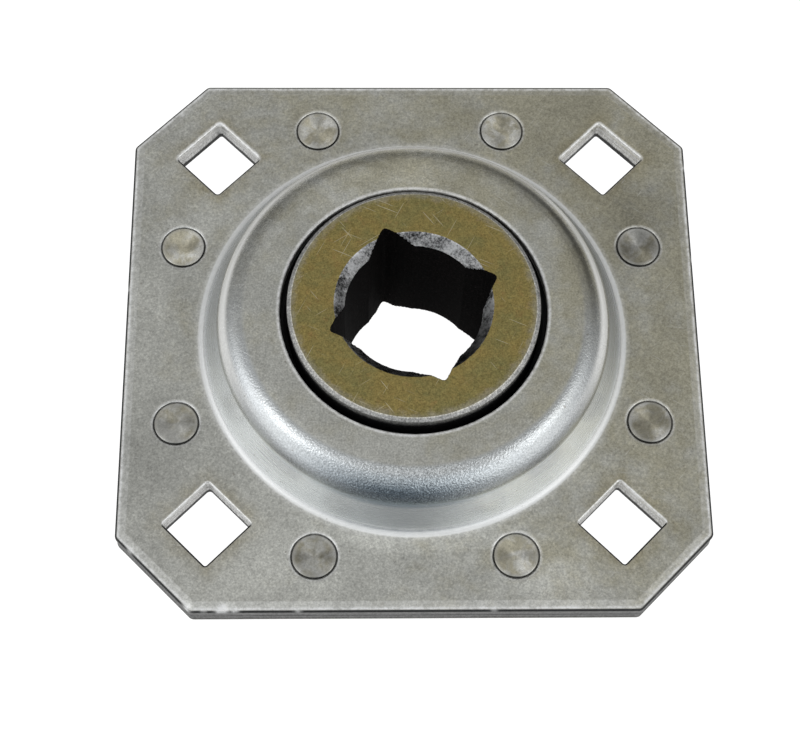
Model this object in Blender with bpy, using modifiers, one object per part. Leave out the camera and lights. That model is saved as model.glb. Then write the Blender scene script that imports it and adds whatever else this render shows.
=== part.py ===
"""Flange mount bearing: two pressed steel flanges riveted around a self-aligning ball bearing with a square bore.

Origin: centre of the bearing, on the seam between the two flanges.
+Z: along the shaft, out of the front of the unit.  +X and +Y: along the sides of the square flanges.
Dimensions are in millimetres and become metres where meshes are made and objects placed.
A profile is a list of (r, z) points, turned about the Z axis.
"""
import math

import bpy
import bmesh
from mathutils import Vector

MM = 0.001

# ---------------------------------------------------------------- driving dimensions
PLATE_SIDE = 139.7          # 5 1/2 in square flange
CORNER_CUT = 17.9           # length taken off each side at a cut corner
PLATE_FACE_Z = 3.4          # seam to the outer face of one flange (10 gauge sheet)
SEAM_GAP = 0.3              # clearance between the two flanges

BOLT_HOLE_SIDE = 14.7       # square hole for a 1/2 in carriage bolt
BOLT_HOLE_CORNER = 0.8      # flat across each corner of the square
BOLT_HOLE_PITCH = 97.2      # centre to centre, along X and along Y
BOLT_HOLE_TURN = 45.0       # the square holes stand on their corners
BOLT_CUTTER_LENGTH = 20.0

RIVET_COUNT = 8
RIVET_CIRCLE_R = 61.3
RIVET_HEAD_R = 5.25
RIVET_HEAD_TOP_R = 4.6      # flat top of a head
RIVET_SHANK_R = 3.8
RIVET_HEAD_Z = 3.6          # seam to the top of a head
RIVET_RIM_Z = 3.1           # seam to the widest part of a head
RIVET_SHANK_Z = 1.5         # half length of the straight shank
RIVET_GAP = 0.25
RIVET_HOLE_RIM_Z = 3.0      # where the hole starts to narrow
RIVET_HOLE_WAIST_Z = 1.45   # half length of its narrow part
RIVET_CUTTER_Z = 5.0

HOUSING_FACE_Z = 17.7       # seam to the flat ring around the opening
OPENING_R = 31.75           # 2 1/2 in opening
SHOULDER_FLAT_R = 38.7      # outer edge of the flat ring
SHOULDER_ROUND = 8.87       # radius of the rounded shoulder
CREASE_R = 47.3             # where the rounded shoulder meets the wall
WALL_FOOT_R, WALL_FOOT_Z = 50.4, 4.4
DOME_BASE_Z = 1.5           # underside of the dome solid, inside the plate
SEAT_INNER_FACE_Z = 14.3    # underside of the flat ring
CORE_OVERSHOOT = 2.0        # core above the flat ring
CORE_BASE_Z = -1.5          # core past the seam

BEARING_OD = 90.0           # spherical outside of the outer ring
SEAT_CLEARANCE = 0.3
SEAT_TOP_DEG, SEAT_BOTTOM_DEG = 16.2, 11.7  # ends of the spherical seat, above the seam
OUTER_RING_HALF_W = 11.0
OUTER_RING_FACE_R = 42.6    # outer edge of the end face
OUTER_RING_CHAMFER_Z = 10.1
OUTER_LAND_R = 38.9
SEAL_SEAT_R = 40.2
SEAL_SEAT_Z = 8.4

INNER_RING_HALF_W = 20.65   # 1 5/8 in wide inner ring
INNER_RING_R = 30.0         # seal land
INNER_LAND_R = 31.3         # shoulder of the race
INNER_LAND_Z = 8.1          # outer edge of that shoulder
SEAL_LAND_Z = 8.7           # where the seal land starts
INNER_FACE_R = 29.2         # outer edge of the end face
INNER_EDGE_Z = 19.8         # where the edge chamfer starts
BORE_MOUTH_R = 18.8
BORE_ROUND_R = 16.4
BORE_LEAD_Z = 17.85         # where the conical lead-in meets the bore
SQUARE_BORE = 29.97         # across flats, for a 1 1/8 in square shaft
SQUARE_CORNER = 1.0
SQUARE_TURN = -25.5         # how far the square stands turned from the flange sides
BROACH_LENGTH = 60.0

BALL_COUNT = 10
BALL_R = 6.35               # 1/2 in balls
BALL_PITCH_R = 35.0
BALL_STEP = 360.0 / BALL_COUNT
RACE_R = BALL_R + 0.3       # ball and its clearance

CAGE_R_IN, CAGE_R_OUT = 32.5, 37.7
CAGE_SHEET = 1.1
CAGE_FACE_Z = 0.15          # seam between the cage halves, on each side
CAGE_POCKET_R = 7.3         # middle of the sheet around a ball
CAGE_RIVET_R = 1.0
CAGE_RIVET_HEAD_R = 1.7
CAGE_RIVET_RIM_H, CAGE_RIVET_HEAD_H = 0.35, 0.7  # height of a head at its rim and at its middle
CAGE_RIVET_GAP = 0.2
CAGE_CUTTER_Z = 3.0

# mesh resolution
FLANGE_STEPS = 40
RING_STEPS = 36
SEAL_STEPS = 30
RIVET_STEPS = 12
CAGE_RIVET_STEPS = 6
BALL_SEGMENTS, BALL_RINGS = 12, 8
SHOULDER_ARC, SEAT_ARC, SPHERE_ARC, RACE_ARC, POCKET_ARC = 3, 2, 5, 6, 5  # segments per arc
SHARP_DEG = 32.0            # turned edges steeper than this are marked sharp

# ---------------------------------------------------------------- profile tables, (r, z)
# fillet from the dome's wall into the plate, then down inside the plate
DOME_FILLET = [(50.95, 3.82), (52.6, 3.25), (52.9, 2.6)]
DOME_BASE_R = 52.9
# bend between the underside of the flat ring and the spherical seat
CORE_BEND_START_R = 40.2
CORE_BEND = [(41.6, 14.1), (42.8, 13.5)]
# cone along the wall and rounded lip at the seam
CORE_LIP = [(47.3, 2.9), (48.3, 1.1), (50.3, -0.1)]
CORE_BASE_R = 50.3
# closed outlines of the front seal
SEAL_CASE = [(39.9, 10.7), (39.9, 8.9), (39.1, 8.9), (39.1, 9.8), (33.0, 9.8), (33.0, 10.7)]
SEAL_LIP = [(32.7, 10.8), (32.7, 9.5), (31.4, 9.3), (30.3, 9.9), (30.3, 10.3), (31.2, 10.8)]


# ---------------------------------------------------------------- scene helpers
def clear_scene():
    for ob in list(bpy.data.objects):
        bpy.data.objects.remove(ob, do_unlink=True)


def collection(name, parent=None):
    coll = bpy.data.collections.new(name)
    (parent or bpy.context.scene.collection).children.link(coll)
    return coll


def material(name, color, roughness, metallic):
    mat = bpy.data.materials.new(name)
    mat.use_nodes = True
    bsdf = mat.node_tree.nodes["Principled BSDF"]
    bsdf.inputs["Base Color"].default_value = (*color, 1.0)
    bsdf.inputs["Roughness"].default_value = roughness
    bsdf.inputs["Metallic"].default_value = metallic
    mat.diffuse_color = (*color, 1.0)
    return mat


def set_material(mesh, mat):
    if mat is not None:
        mesh.materials.clear()
        mesh.materials.append(mat)


def add_object(name, mesh, coll, mat=None):
    ob = bpy.data.objects.new(name, mesh)
    coll.objects.link(ob)
    set_material(mesh, mat)
    return ob


def empty(name, coll, parent=None):
    ob = bpy.data.objects.new(name, None)
    ob.empty_display_size = 0.02
    coll.objects.link(ob)
    ob.parent = parent
    return ob


def as_cutter(ob):
    ob.hide_render = True
    ob.display_type = 'WIRE'
    return ob


def boolean(ob, operation, other):
    mod = ob.modifiers.new(operation.lower(), 'BOOLEAN')
    mod.operation = operation
    mod.solver = 'EXACT'
    if isinstance(other, bpy.types.Collection):
        mod.operand_type = 'COLLECTION'
        mod.collection = other
    else:
        mod.object = other


# ---------------------------------------------------------------- shape helpers
def arc(center_r, center_z, radius, start_deg, end_deg, count):
    """Points on a circle in the r-z plane, ends included."""
    points = []
    for i in range(count + 1):
        angle = math.radians(start_deg + (end_deg - start_deg) * i / count)
        points.append((center_r + radius * math.cos(angle), center_z + radius * math.sin(angle)))
    return points


def mirrored(upper):
    """A profile's upper half, followed by its mirror image below the seam."""
    return upper + [(r, -z) for r, z in reversed(upper)]


def around(radius, angle_deg, z=0.0):
    angle = math.radians(angle_deg)
    return Vector((radius * math.cos(angle), radius * math.sin(angle), z)) * MM


def finish_mesh(bm, name):
    mesh = bpy.data.meshes.new(name)
    bm.to_mesh(mesh)
    bm.free()
    return mesh


def turned(name, profile, steps, coll, mat=None, closed=True):
    """A profile turned about the Z axis and shaded smooth by angle."""
    bm = bmesh.new()
    verts = [bm.verts.new((r * MM, 0.0, z * MM)) for r, z in profile]
    for start, end in zip(verts, verts[1:]):
        bm.edges.new((start, end))
    if closed:
        bm.edges.new((verts[-1], verts[0]))
    outline = finish_mesh(bm, name)
    ob = add_object(name, outline, coll)
    screw = ob.modifiers.new("turn", 'SCREW')
    screw.axis = 'Z'
    screw.angle = 2.0 * math.pi
    screw.steps = steps
    screw.render_steps = steps
    screw.use_merge_vertices = True
    screw.merge_threshold = 0.00001
    screw.use_smooth_shade = True
    # the turned mesh is kept, so that its sharp edges can be marked
    depsgraph = bpy.context.evaluated_depsgraph_get()
    solid = bpy.data.meshes.new_from_object(ob.evaluated_get(depsgraph))
    solid.name = name
    ob.modifiers.clear()
    ob.data = solid
    bpy.data.meshes.remove(outline)
    solid.shade_smooth()
    solid.set_sharp_from_angle(angle=math.radians(SHARP_DEG))
    set_material(solid, mat)
    return ob


def turned_circle(prefix, profile, steps, coll, radius, count, mat=None):
    """Numbered turned pieces that share a mesh, on a circle, half a step away from +X."""
    pieces = [turned(prefix + "_1", profile, steps, coll, mat, closed=False)]
    for i in range(1, count):
        pieces.append(add_object("%s_%d" % (prefix, i + 1), pieces[0].data, coll))
    for i, piece in enumerate(pieces):
        piece.location = around(radius, 360.0 / count * (i + 0.5))
    return pieces


def block(name, size_x, size_y, size_z, corner, corner_segments, coll, mat=None):
    """A box centred on its origin, its four upright edges cut or rounded by corner."""
    bm = bmesh.new()
    bmesh.ops.create_cube(bm, size=1.0)
    bmesh.ops.scale(bm, vec=(size_x * MM, size_y * MM, size_z * MM), verts=bm.verts)
    upright = [edge for edge in bm.edges
               if abs(edge.verts[0].co.z - edge.verts[1].co.z) > 0.5 * size_z * MM]
    bmesh.ops.bevel(bm, geom=upright, offset=corner * MM, segments=corner_segments,
                    profile=0.5, affect='EDGES')
    return add_object(name, finish_mesh(bm, name), coll, mat)


# ---------------------------------------------------------------- flanges
def dome_profile():
    """Outside: flat ring, rounded shoulder, crease, steep wall and a fillet into the plate."""
    shoulder_end = math.degrees(math.acos((CREASE_R - SHOULDER_FLAT_R) / SHOULDER_ROUND))
    return [
        (0.0, HOUSING_FACE_Z),
        *arc(SHOULDER_FLAT_R, HOUSING_FACE_Z - SHOULDER_ROUND, SHOULDER_ROUND,
             90.0, shoulder_end, SHOULDER_ARC),
        (WALL_FOOT_R, WALL_FOOT_Z),
        *DOME_FILLET,
        (DOME_BASE_R, DOME_BASE_Z),
        (0.0, DOME_BASE_Z),
    ]


def core_profile():
    """Inside: opening, underside of the flat ring, bend, spherical seat, cone and lip."""
    seat_r = BEARING_OD / 2.0 + SEAT_CLEARANCE
    return [
        (0.0, HOUSING_FACE_Z + CORE_OVERSHOOT),
        (OPENING_R, HOUSING_FACE_Z + CORE_OVERSHOOT),
        (OPENING_R, SEAT_INNER_FACE_Z),
        (CORE_BEND_START_R, SEAT_INNER_FACE_Z),
        *CORE_BEND,
        *arc(0.0, 0.0, seat_r, SEAT_TOP_DEG, SEAT_BOTTOM_DEG, SEAT_ARC),
        *CORE_LIP,
        (CORE_BASE_R, CORE_BASE_Z),
        (0.0, CORE_BASE_Z),
    ]


def build_housing_holes(cutters):
    """Cutters for the bolt and rivet holes, shared by both flanges."""
    holes = collection("housing_holes", cutters)
    for i, (side_x, side_y) in enumerate(((1, 1), (-1, 1), (-1, -1), (1, -1))):
        hole = as_cutter(block("bolt_hole_%d" % (i + 1), BOLT_HOLE_SIDE, BOLT_HOLE_SIDE,
                               BOLT_CUTTER_LENGTH, BOLT_HOLE_CORNER, 1, holes))
        hole.location = Vector((side_x, side_y, 0.0)) * (BOLT_HOLE_PITCH / 2.0 * MM)
        hole.rotation_euler.z = math.radians(BOLT_HOLE_TURN)

    head_hole_r = RIVET_HEAD_R + RIVET_GAP
    profile = mirrored([
        (0.0, RIVET_CUTTER_Z),
        (head_hole_r, RIVET_CUTTER_Z),
        (head_hole_r, RIVET_HOLE_RIM_Z),
        (RIVET_SHANK_R + RIVET_GAP, RIVET_HOLE_WAIST_Z),
    ])
    for hole in turned_circle("rivet_hole", profile, RIVET_STEPS, holes,
                              RIVET_CIRCLE_R, RIVET_COUNT):
        as_cutter(hole)
    return holes


def build_flanges(model, cutters, unit, mat):
    """Each flange is a plate with a dome added, then the core and the holes taken out."""
    holes = build_housing_holes(cutters)
    front_dome = as_cutter(turned("front_dome", dome_profile(), FLANGE_STEPS, cutters, mat,
                                  closed=False))
    front_core = as_cutter(turned("front_core", core_profile(), FLANGE_STEPS, cutters, mat,
                                  closed=False))
    rear_dome = as_cutter(add_object("rear_dome", front_dome.data, cutters))
    rear_core = as_cutter(add_object("rear_core", front_core.data, cutters))
    rear_dome.rotation_euler.x = math.pi
    rear_core.rotation_euler.x = math.pi

    thickness = PLATE_FACE_Z - SEAM_GAP / 2.0
    for name, side, dome, core in (("front_flange", 1.0, front_dome, front_core),
                                   ("rear_flange", -1.0, rear_dome, rear_core)):
        flange = block(name, PLATE_SIDE, PLATE_SIDE, thickness, CORNER_CUT, 1, model, mat)
        flange.location.z = side * (PLATE_FACE_Z - thickness / 2.0) * MM
        flange.parent = unit
        boolean(flange, 'UNION', dome)
        boolean(flange, 'DIFFERENCE', core)
        boolean(flange, 'DIFFERENCE', holes)


def build_flange_rivets(model, unit, mat):
    """Rivets headed at both ends."""
    profile = mirrored([
        (0.0, RIVET_HEAD_Z),
        (RIVET_HEAD_TOP_R, RIVET_HEAD_Z),
        (RIVET_HEAD_R, RIVET_RIM_Z),
        (RIVET_SHANK_R, RIVET_SHANK_Z),
    ])
    for rivet in turned_circle("flange_rivet", profile, RIVET_STEPS, model,
                               RIVET_CIRCLE_R, RIVET_COUNT, mat):
        rivet.parent = unit


# ---------------------------------------------------------------- rings and seals
def build_outer_ring(model, align_pivot, mat):
    """Spherical outside, race and seal seats."""
    sphere_r = BEARING_OD / 2.0
    sphere_end = math.degrees(math.asin(OUTER_RING_CHAMFER_Z / sphere_r))
    race_end = math.degrees(math.acos((OUTER_LAND_R - BALL_PITCH_R) / RACE_R))
    profile = [
        (OUTER_RING_FACE_R, OUTER_RING_HALF_W),
        *arc(0.0, 0.0, sphere_r, sphere_end, -sphere_end, SPHERE_ARC),
        (OUTER_RING_FACE_R, -OUTER_RING_HALF_W),
        (SEAL_SEAT_R, -OUTER_RING_HALF_W),
        (SEAL_SEAT_R, -SEAL_SEAT_Z),
        (OUTER_LAND_R, -SEAL_SEAT_Z),
        *arc(BALL_PITCH_R, 0.0, RACE_R, -race_end, race_end, RACE_ARC),
        (OUTER_LAND_R, SEAL_SEAT_Z),
        (SEAL_SEAT_R, SEAL_SEAT_Z),
        (SEAL_SEAT_R, OUTER_RING_HALF_W),
    ]
    turned("outer_ring", profile, RING_STEPS, model, mat).parent = align_pivot


def build_seals(model, align_pivot, case_mat, lip_mat):
    """Pressed case and rubber lip at each end."""
    for end, turn in (("front", 0.0), ("rear", math.pi)):
        for part, profile, mat in (("case", SEAL_CASE, case_mat), ("lip", SEAL_LIP, lip_mat)):
            ob = turned("%s_seal_%s" % (end, part), profile, SEAL_STEPS, model, mat)
            ob.parent = align_pivot
            ob.rotation_euler.x = turn


def build_inner_ring(model, cutters, inner_axis, mat):
    """Wide ring with a broached square bore."""
    race_end = math.degrees(math.acos((BALL_PITCH_R - INNER_LAND_R) / RACE_R))
    profile = [
        (INNER_FACE_R, INNER_RING_HALF_W),
        (INNER_RING_R, INNER_EDGE_Z),
        (INNER_RING_R, SEAL_LAND_Z),
        (INNER_LAND_R, INNER_LAND_Z),
        *arc(BALL_PITCH_R, 0.0, RACE_R, 180.0 - race_end, 180.0 + race_end, RACE_ARC),
        (INNER_LAND_R, -INNER_LAND_Z),
        (INNER_RING_R, -SEAL_LAND_Z),
        (INNER_RING_R, -INNER_EDGE_Z),
        (INNER_FACE_R, -INNER_RING_HALF_W),
        (BORE_MOUTH_R, -INNER_RING_HALF_W),
        (BORE_ROUND_R, -BORE_LEAD_Z),
        (BORE_ROUND_R, BORE_LEAD_Z),
        (BORE_MOUTH_R, INNER_RING_HALF_W),
    ]
    ring = turned("inner_ring", profile, RING_STEPS, model, mat)
    ring.parent = inner_axis
    broach = as_cutter(block("square_broach", SQUARE_BORE, SQUARE_BORE, BROACH_LENGTH,
                             SQUARE_CORNER, 2, cutters))
    broach.rotation_euler.z = math.radians(SQUARE_TURN)
    boolean(ring, 'DIFFERENCE', broach)


# ---------------------------------------------------------------- cage and balls
def build_cage_holes(cutters):
    holes = collection("cage_holes", cutters)
    profile = mirrored([(0.0, CAGE_CUTTER_Z), (CAGE_RIVET_R + CAGE_RIVET_GAP, CAGE_CUTTER_Z)])
    for hole in turned_circle("cage_rivet_hole", profile, CAGE_RIVET_STEPS, holes,
                              BALL_PITCH_R, BALL_COUNT):
        as_cutter(hole)
    return holes


def ribbon_wave():
    """(angle in degrees from a ball, height) from a rivet land to the far side of the pocket."""
    base = CAGE_FACE_Z + CAGE_SHEET / 2.0
    start = math.degrees(math.asin(base / CAGE_POCKET_R))
    points = [(-BALL_STEP / 2.0, base)]
    for x, z in arc(0.0, 0.0, CAGE_POCKET_R, 180.0 - start, start, POCKET_ARC):
        points.append((math.degrees(x / BALL_PITCH_R), z))
    return points


def build_cage_half(name, side, model, holes, cage_axis, mat):
    """One wavy pressed ribbon, on the +Z or -Z side of the balls."""
    bm = bmesh.new()
    inner = []
    for i in range(BALL_COUNT):
        for angle, z in ribbon_wave():
            inner.append(bm.verts.new(around(CAGE_R_IN, i * BALL_STEP + angle, side * z)))
    edges = [bm.edges.new((inner[i], inner[(i + 1) % len(inner)])) for i in range(len(inner))]
    grown = bmesh.ops.extrude_edge_only(bm, edges=edges)
    outer = [item for item in grown["geom"] if isinstance(item, bmesh.types.BMVert)]
    widening = CAGE_R_OUT / CAGE_R_IN
    bmesh.ops.scale(bm, vec=(widening, widening, 1.0), verts=outer)
    bmesh.ops.recalc_face_normals(bm, faces=bm.faces)
    half = add_object(name, finish_mesh(bm, name), model, mat)
    sheet = half.modifiers.new("sheet", 'SOLIDIFY')
    sheet.thickness = CAGE_SHEET * MM
    sheet.offset = 0.0
    boolean(half, 'DIFFERENCE', holes)
    half.parent = cage_axis


def build_cage_rivets(model, cage_axis, mat):
    """Rivets through both cage halves, between the balls."""
    land_z = CAGE_FACE_Z + CAGE_SHEET + CAGE_RIVET_GAP
    profile = mirrored([
        (0.0, land_z + CAGE_RIVET_HEAD_H),
        (CAGE_RIVET_HEAD_R, land_z + CAGE_RIVET_RIM_H),
        (CAGE_RIVET_HEAD_R, land_z),
        (CAGE_RIVET_R, land_z),
    ])
    for rivet in turned_circle("cage_rivet", profile, CAGE_RIVET_STEPS, model,
                               BALL_PITCH_R, BALL_COUNT, mat):
        rivet.parent = cage_axis


def build_balls(model, cage_axis, mat):
    bm = bmesh.new()
    bmesh.ops.create_uvsphere(bm, u_segments=BALL_SEGMENTS, v_segments=BALL_RINGS,
                              radius=BALL_R * MM)
    mesh = finish_mesh(bm, "ball")
    set_material(mesh, mat)
    mesh.shade_smooth()
    for i in range(BALL_COUNT):
        ball = add_object("ball_%d" % (i + 1), mesh, model)
        ball.location = around(BALL_PITCH_R, BALL_STEP * i)
        ball.parent = cage_axis


# ---------------------------------------------------------------- build
clear_scene()
model = collection("flange_mount_bearing")
cutters = collection("cutters")

flange_steel = material("pressed_steel", color=(0.42, 0.42, 0.39), roughness=0.38, metallic=0.9)
rivet_steel = material("rivet_steel", color=(0.50, 0.50, 0.49), roughness=0.30, metallic=1.0)
outer_steel = material("outer_ring_steel", color=(0.55, 0.56, 0.57), roughness=0.25, metallic=1.0)
inner_steel = material("inner_ring_steel", color=(0.38, 0.33, 0.16), roughness=0.35, metallic=0.9)
rubber = material("seal_rubber", color=(0.02, 0.02, 0.02), roughness=0.60, metallic=0.0)
seal_steel = material("seal_case_steel", color=(0.35, 0.35, 0.36), roughness=0.35, metallic=1.0)
cage_steel = material("cage_steel", color=(0.58, 0.57, 0.54), roughness=0.30, metallic=1.0)
cage_rivet_steel = material("cage_rivet_steel", color=(0.52, 0.52, 0.50), roughness=0.30,
                            metallic=1.0)
ball_steel = material("ball_steel", color=(0.75, 0.76, 0.78), roughness=0.08, metallic=1.0)

unit = empty("unit", model)
align_pivot = empty("align_pivot", model, unit)
inner_axis = empty("inner_axis", model, align_pivot)
cage_axis = empty("cage_axis", model, align_pivot)

build_flanges(model, cutters, unit, flange_steel)
build_flange_rivets(model, unit, rivet_steel)
build_outer_ring(model, align_pivot, outer_steel)
build_seals(model, align_pivot, seal_steel, rubber)
build_inner_ring(model, cutters, inner_axis, inner_steel)
cage_holes = build_cage_holes(cutters)
build_cage_half("cage_front", 1.0, model, cage_holes, cage_axis, cage_steel)
build_cage_half("cage_rear", -1.0, model, cage_holes, cage_axis, cage_steel)
build_cage_rivets(model, cage_axis, cage_rivet_steel)
build_balls(model, cage_axis, ball_steel)
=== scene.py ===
"""Flange mount bearing: detailed meshes and materials for the CAD pieces in the frame.

The bearing's axis is Z and its middle plane is z = 0. Two pressed flanges, a front one towards +Z
and a rear one towards -Z, hold a ball bearing whose inner ring has a square bore.
Meshes are worked out in millimetres and written in metres.
"""
import math
from functools import cached_property, reduce

import bmesh
import bpy
import numpy as np
from mathutils import Matrix, Vector, geometry


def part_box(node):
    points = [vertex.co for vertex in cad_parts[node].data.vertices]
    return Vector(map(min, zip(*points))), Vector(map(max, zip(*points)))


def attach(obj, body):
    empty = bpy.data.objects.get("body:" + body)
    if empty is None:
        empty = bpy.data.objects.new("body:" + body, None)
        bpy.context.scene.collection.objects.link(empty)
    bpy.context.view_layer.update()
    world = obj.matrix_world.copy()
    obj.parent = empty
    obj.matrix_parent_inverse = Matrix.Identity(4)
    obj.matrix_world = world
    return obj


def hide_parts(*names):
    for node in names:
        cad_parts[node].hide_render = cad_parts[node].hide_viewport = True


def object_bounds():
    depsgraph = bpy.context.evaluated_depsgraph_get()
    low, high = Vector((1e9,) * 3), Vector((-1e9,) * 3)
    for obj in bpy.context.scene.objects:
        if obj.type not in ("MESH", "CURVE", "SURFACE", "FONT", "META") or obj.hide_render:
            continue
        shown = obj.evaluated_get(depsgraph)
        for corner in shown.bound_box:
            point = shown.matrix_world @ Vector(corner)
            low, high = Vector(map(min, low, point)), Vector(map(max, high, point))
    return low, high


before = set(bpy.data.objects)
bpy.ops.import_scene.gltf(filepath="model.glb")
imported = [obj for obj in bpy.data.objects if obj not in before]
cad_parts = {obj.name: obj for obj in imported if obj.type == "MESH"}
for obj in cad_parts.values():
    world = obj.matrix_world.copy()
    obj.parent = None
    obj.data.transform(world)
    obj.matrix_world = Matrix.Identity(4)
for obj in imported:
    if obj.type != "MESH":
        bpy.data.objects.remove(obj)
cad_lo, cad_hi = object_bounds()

MM = 0.001
scene = bpy.context.scene


# ------------------------------------------------------------------ sizes, in millimetres
def node_box(name):
    lo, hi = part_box(name)
    return np.array(lo) / MM, np.array(hi) / MM


flange_lo, flange_hi = node_box("front_flange")
HALF = float(flange_hi[0])                 # half the flange's width
SEAM = float(flange_lo[2]) * 0.3           # underside; the CAD keeps 0.15 of clearance
DOME_TOP = float(flange_hi[2])
PLATE_TOP = 3.4
CORNER_CUT = 17.9
OPENING_RADIUS = 31.75

BOLT_SIDE, BOLT_AT = 14.7, 48.6            # the punched square openings
BOLT_HALF = BOLT_SIDE / 2

RING_Z = float(node_box("inner_ring")[1][2])

RIVETS = ["flange_rivet_%d" % i for i in range(1, 9)]
RIVET_CENTRES = []
for rivet in RIVETS:
    lo, hi = node_box(rivet)
    RIVET_CENTRES.append(((lo[0] + hi[0]) / 2, (lo[1] + hi[1]) / 2))
RIVET_Z = float(node_box(RIVETS[0])[1][2])
RIVET_HEAD = 5.25
RIVET_HOLE = 5.5

TRACK_AT, TRACK_RADIUS = 35.0, 6.65        # centre and radius of the ball track's section
BALL_RADIUS = 6.35


# ------------------------------------------------------------------ mesh tools
class MeshBuilder:
    """Collects points (millimetres) and faces for one closed mesh."""

    def __init__(self):
        self.parts, self.faces, self.materials, self.count = [], [], [], 0

    def add(self, points):
        points = np.asarray(points, float)
        self.parts.append(points)
        indices = np.arange(self.count, self.count + len(points))
        self.count += len(points)
        return indices

    def strip(self, loop_a, loop_b, material=0):
        """Quads between two closed loops with the same number of points."""
        quads = np.stack([loop_a, loop_b, np.roll(loop_b, -1), np.roll(loop_a, -1)], 1)
        self.add_faces(quads.tolist(), material)

    def add_faces(self, faces, material=0):
        self.faces.extend(faces)
        self.materials.extend([material] * len(faces))

    def points(self):
        return np.concatenate(self.parts)

    def make(self, name, materials, sharp_degrees=34.0, fields=None):
        mesh = bpy.data.meshes.new(name)
        mesh.from_pydata((self.points() * MM).tolist(), [], self.faces)
        for material in materials:
            mesh.materials.append(material)
        mesh.polygons.foreach_set("material_index", np.array(self.materials, np.int32))
        for key, values in (fields or {}).items():
            attribute = mesh.attributes.new(key, "FLOAT", "POINT")
            attribute.data.foreach_set("value", np.asarray(values, np.float32))
        bm = bmesh.new()
        bm.from_mesh(mesh)
        bmesh.ops.recalc_face_normals(bm, faces=bm.faces)
        bm.to_mesh(mesh)
        bm.free()
        mesh.shade_smooth()
        mesh.set_sharp_from_angle(angle=math.radians(sharp_degrees))
        return add_object(name, mesh)


def add_object(name, data):
    ob = bpy.data.objects.new(name, data)
    scene.collection.objects.link(ob)
    return ob


def hand_over(ob, node, body):
    """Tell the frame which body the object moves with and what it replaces."""
    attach(ob, body)
    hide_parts(node)


def turn_between(a, b):
    return math.acos(float(np.clip(a @ b, -1, 1)))


def rounded_loop(corners, radius, arc_steps, counts=None, step=None):
    """A counter-clockwise outline with rounded corners: points and inward normals.

    Each side is cut into its entry in counts, or into pieces of about one step."""
    points, normals = [], []
    n = len(corners)
    corners = np.array(corners, float)
    for i in range(n):
        before, here, after = corners[i - 1], corners[i], corners[(i + 1) % n]
        arriving = (here - before) / np.linalg.norm(here - before)
        leaving = (after - here) / np.linalg.norm(after - here)
        turn = turn_between(arriving, leaving)
        reach = radius * math.tan(turn / 2)
        normal = np.array([-arriving[1], arriving[0]])
        centre = here - arriving * reach + normal * radius
        start_angle = math.atan2(-normal[1], -normal[0])
        for k in range(arc_steps + 1):
            angle = start_angle + turn * k / arc_steps
            outward = np.array([math.cos(angle), math.sin(angle)])
            points.append(centre + outward * radius)
            normals.append(-outward)
        start = here + leaving * reach
        following = corners[(i + 2) % n] - after
        following = following / np.linalg.norm(following)
        end = after - leaving * radius * math.tan(turn_between(leaving, following) / 2)
        length = np.linalg.norm(end - start)
        pieces = counts[i] if counts else max(2, int(round(length / step)))
        side_normal = np.array([-leaving[1], leaving[0]])
        for k in range(1, pieces):
            points.append(start + (end - start) * k / pieces)
            normals.append(side_normal)
    return np.array(points), np.array(normals)


def circle_loop(centre, radius, n):
    angles = np.arange(n) * 2 * math.pi / n
    return centre + radius * np.stack([np.cos(angles), np.sin(angles)], 1)


def arc(centre_r, centre_z, radius, start, end, steps):
    """Points (r, z) of an arc between two angles in degrees."""
    angles = np.radians(np.linspace(start, end, steps + 1))
    return [(centre_r + radius * math.cos(a), centre_z + radius * math.sin(a)) for a in angles]


def rounded_profile(corners, steps):
    """A closed outline of (r, z) or (r, z, radius) corners, with each radius turned into an arc."""
    out = []
    for i, corner in enumerate(corners):
        here = np.array(corner[:2], float)
        if len(corner) < 3:
            out.append(tuple(here))
            continue
        to_before = np.array(corners[i - 1][:2], float) - here
        to_after = np.array(corners[(i + 1) % len(corners)][:2], float) - here
        length_before, length_after = np.linalg.norm(to_before), np.linalg.norm(to_after)
        to_before, to_after = to_before / length_before, to_after / length_after
        half = turn_between(to_before, to_after) / 2
        reach = min(corner[2] / math.tan(half), 0.45 * length_before, 0.45 * length_after)
        radius = reach * math.tan(half)
        middle = (to_before + to_after) / np.linalg.norm(to_before + to_after)
        centre = here + middle * (radius / math.sin(half))
        first, last = here + to_before * reach - centre, here + to_after * reach - centre
        start = math.atan2(first[1], first[0])
        sweep = (math.atan2(last[1], last[0]) - start + math.pi) % (2 * math.pi) - math.pi
        for k in range(steps + 1):
            angle = start + sweep * k / steps
            out.append((centre[0] + radius * math.cos(angle),
                        centre[1] + radius * math.sin(angle)))
    return out


def around(n):
    """Cosines and sines of n equal steps round the axis."""
    angles = np.arange(n) * 2 * math.pi / n
    return angles, np.cos(angles), np.sin(angles)


def lathe(name, profile, n, material, sharp_degrees=34.0):
    """A closed outline of (r, z) points turned about Z."""
    build = MeshBuilder()
    _, cos, sin = around(n)
    rings = [build.add(np.stack([r * cos, r * sin, np.full(n, z)], 1)) for r, z in profile]
    for i, ring in enumerate(rings):
        build.strip(ring, rings[(i + 1) % len(rings)])
    return build.make(name, [material], sharp_degrees)


def smooth(x, lo, hi):
    t = np.clip((x - lo) / (hi - lo), 0.0, 1.0)
    return t * t * (3 - 2 * t)


def roll_over(t):
    """Drop of a quarter ellipse: 0 at t = 0, growing to 1 at t = 1."""
    return 1 - math.sqrt(max(0.0, 1 - t * t))


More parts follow.
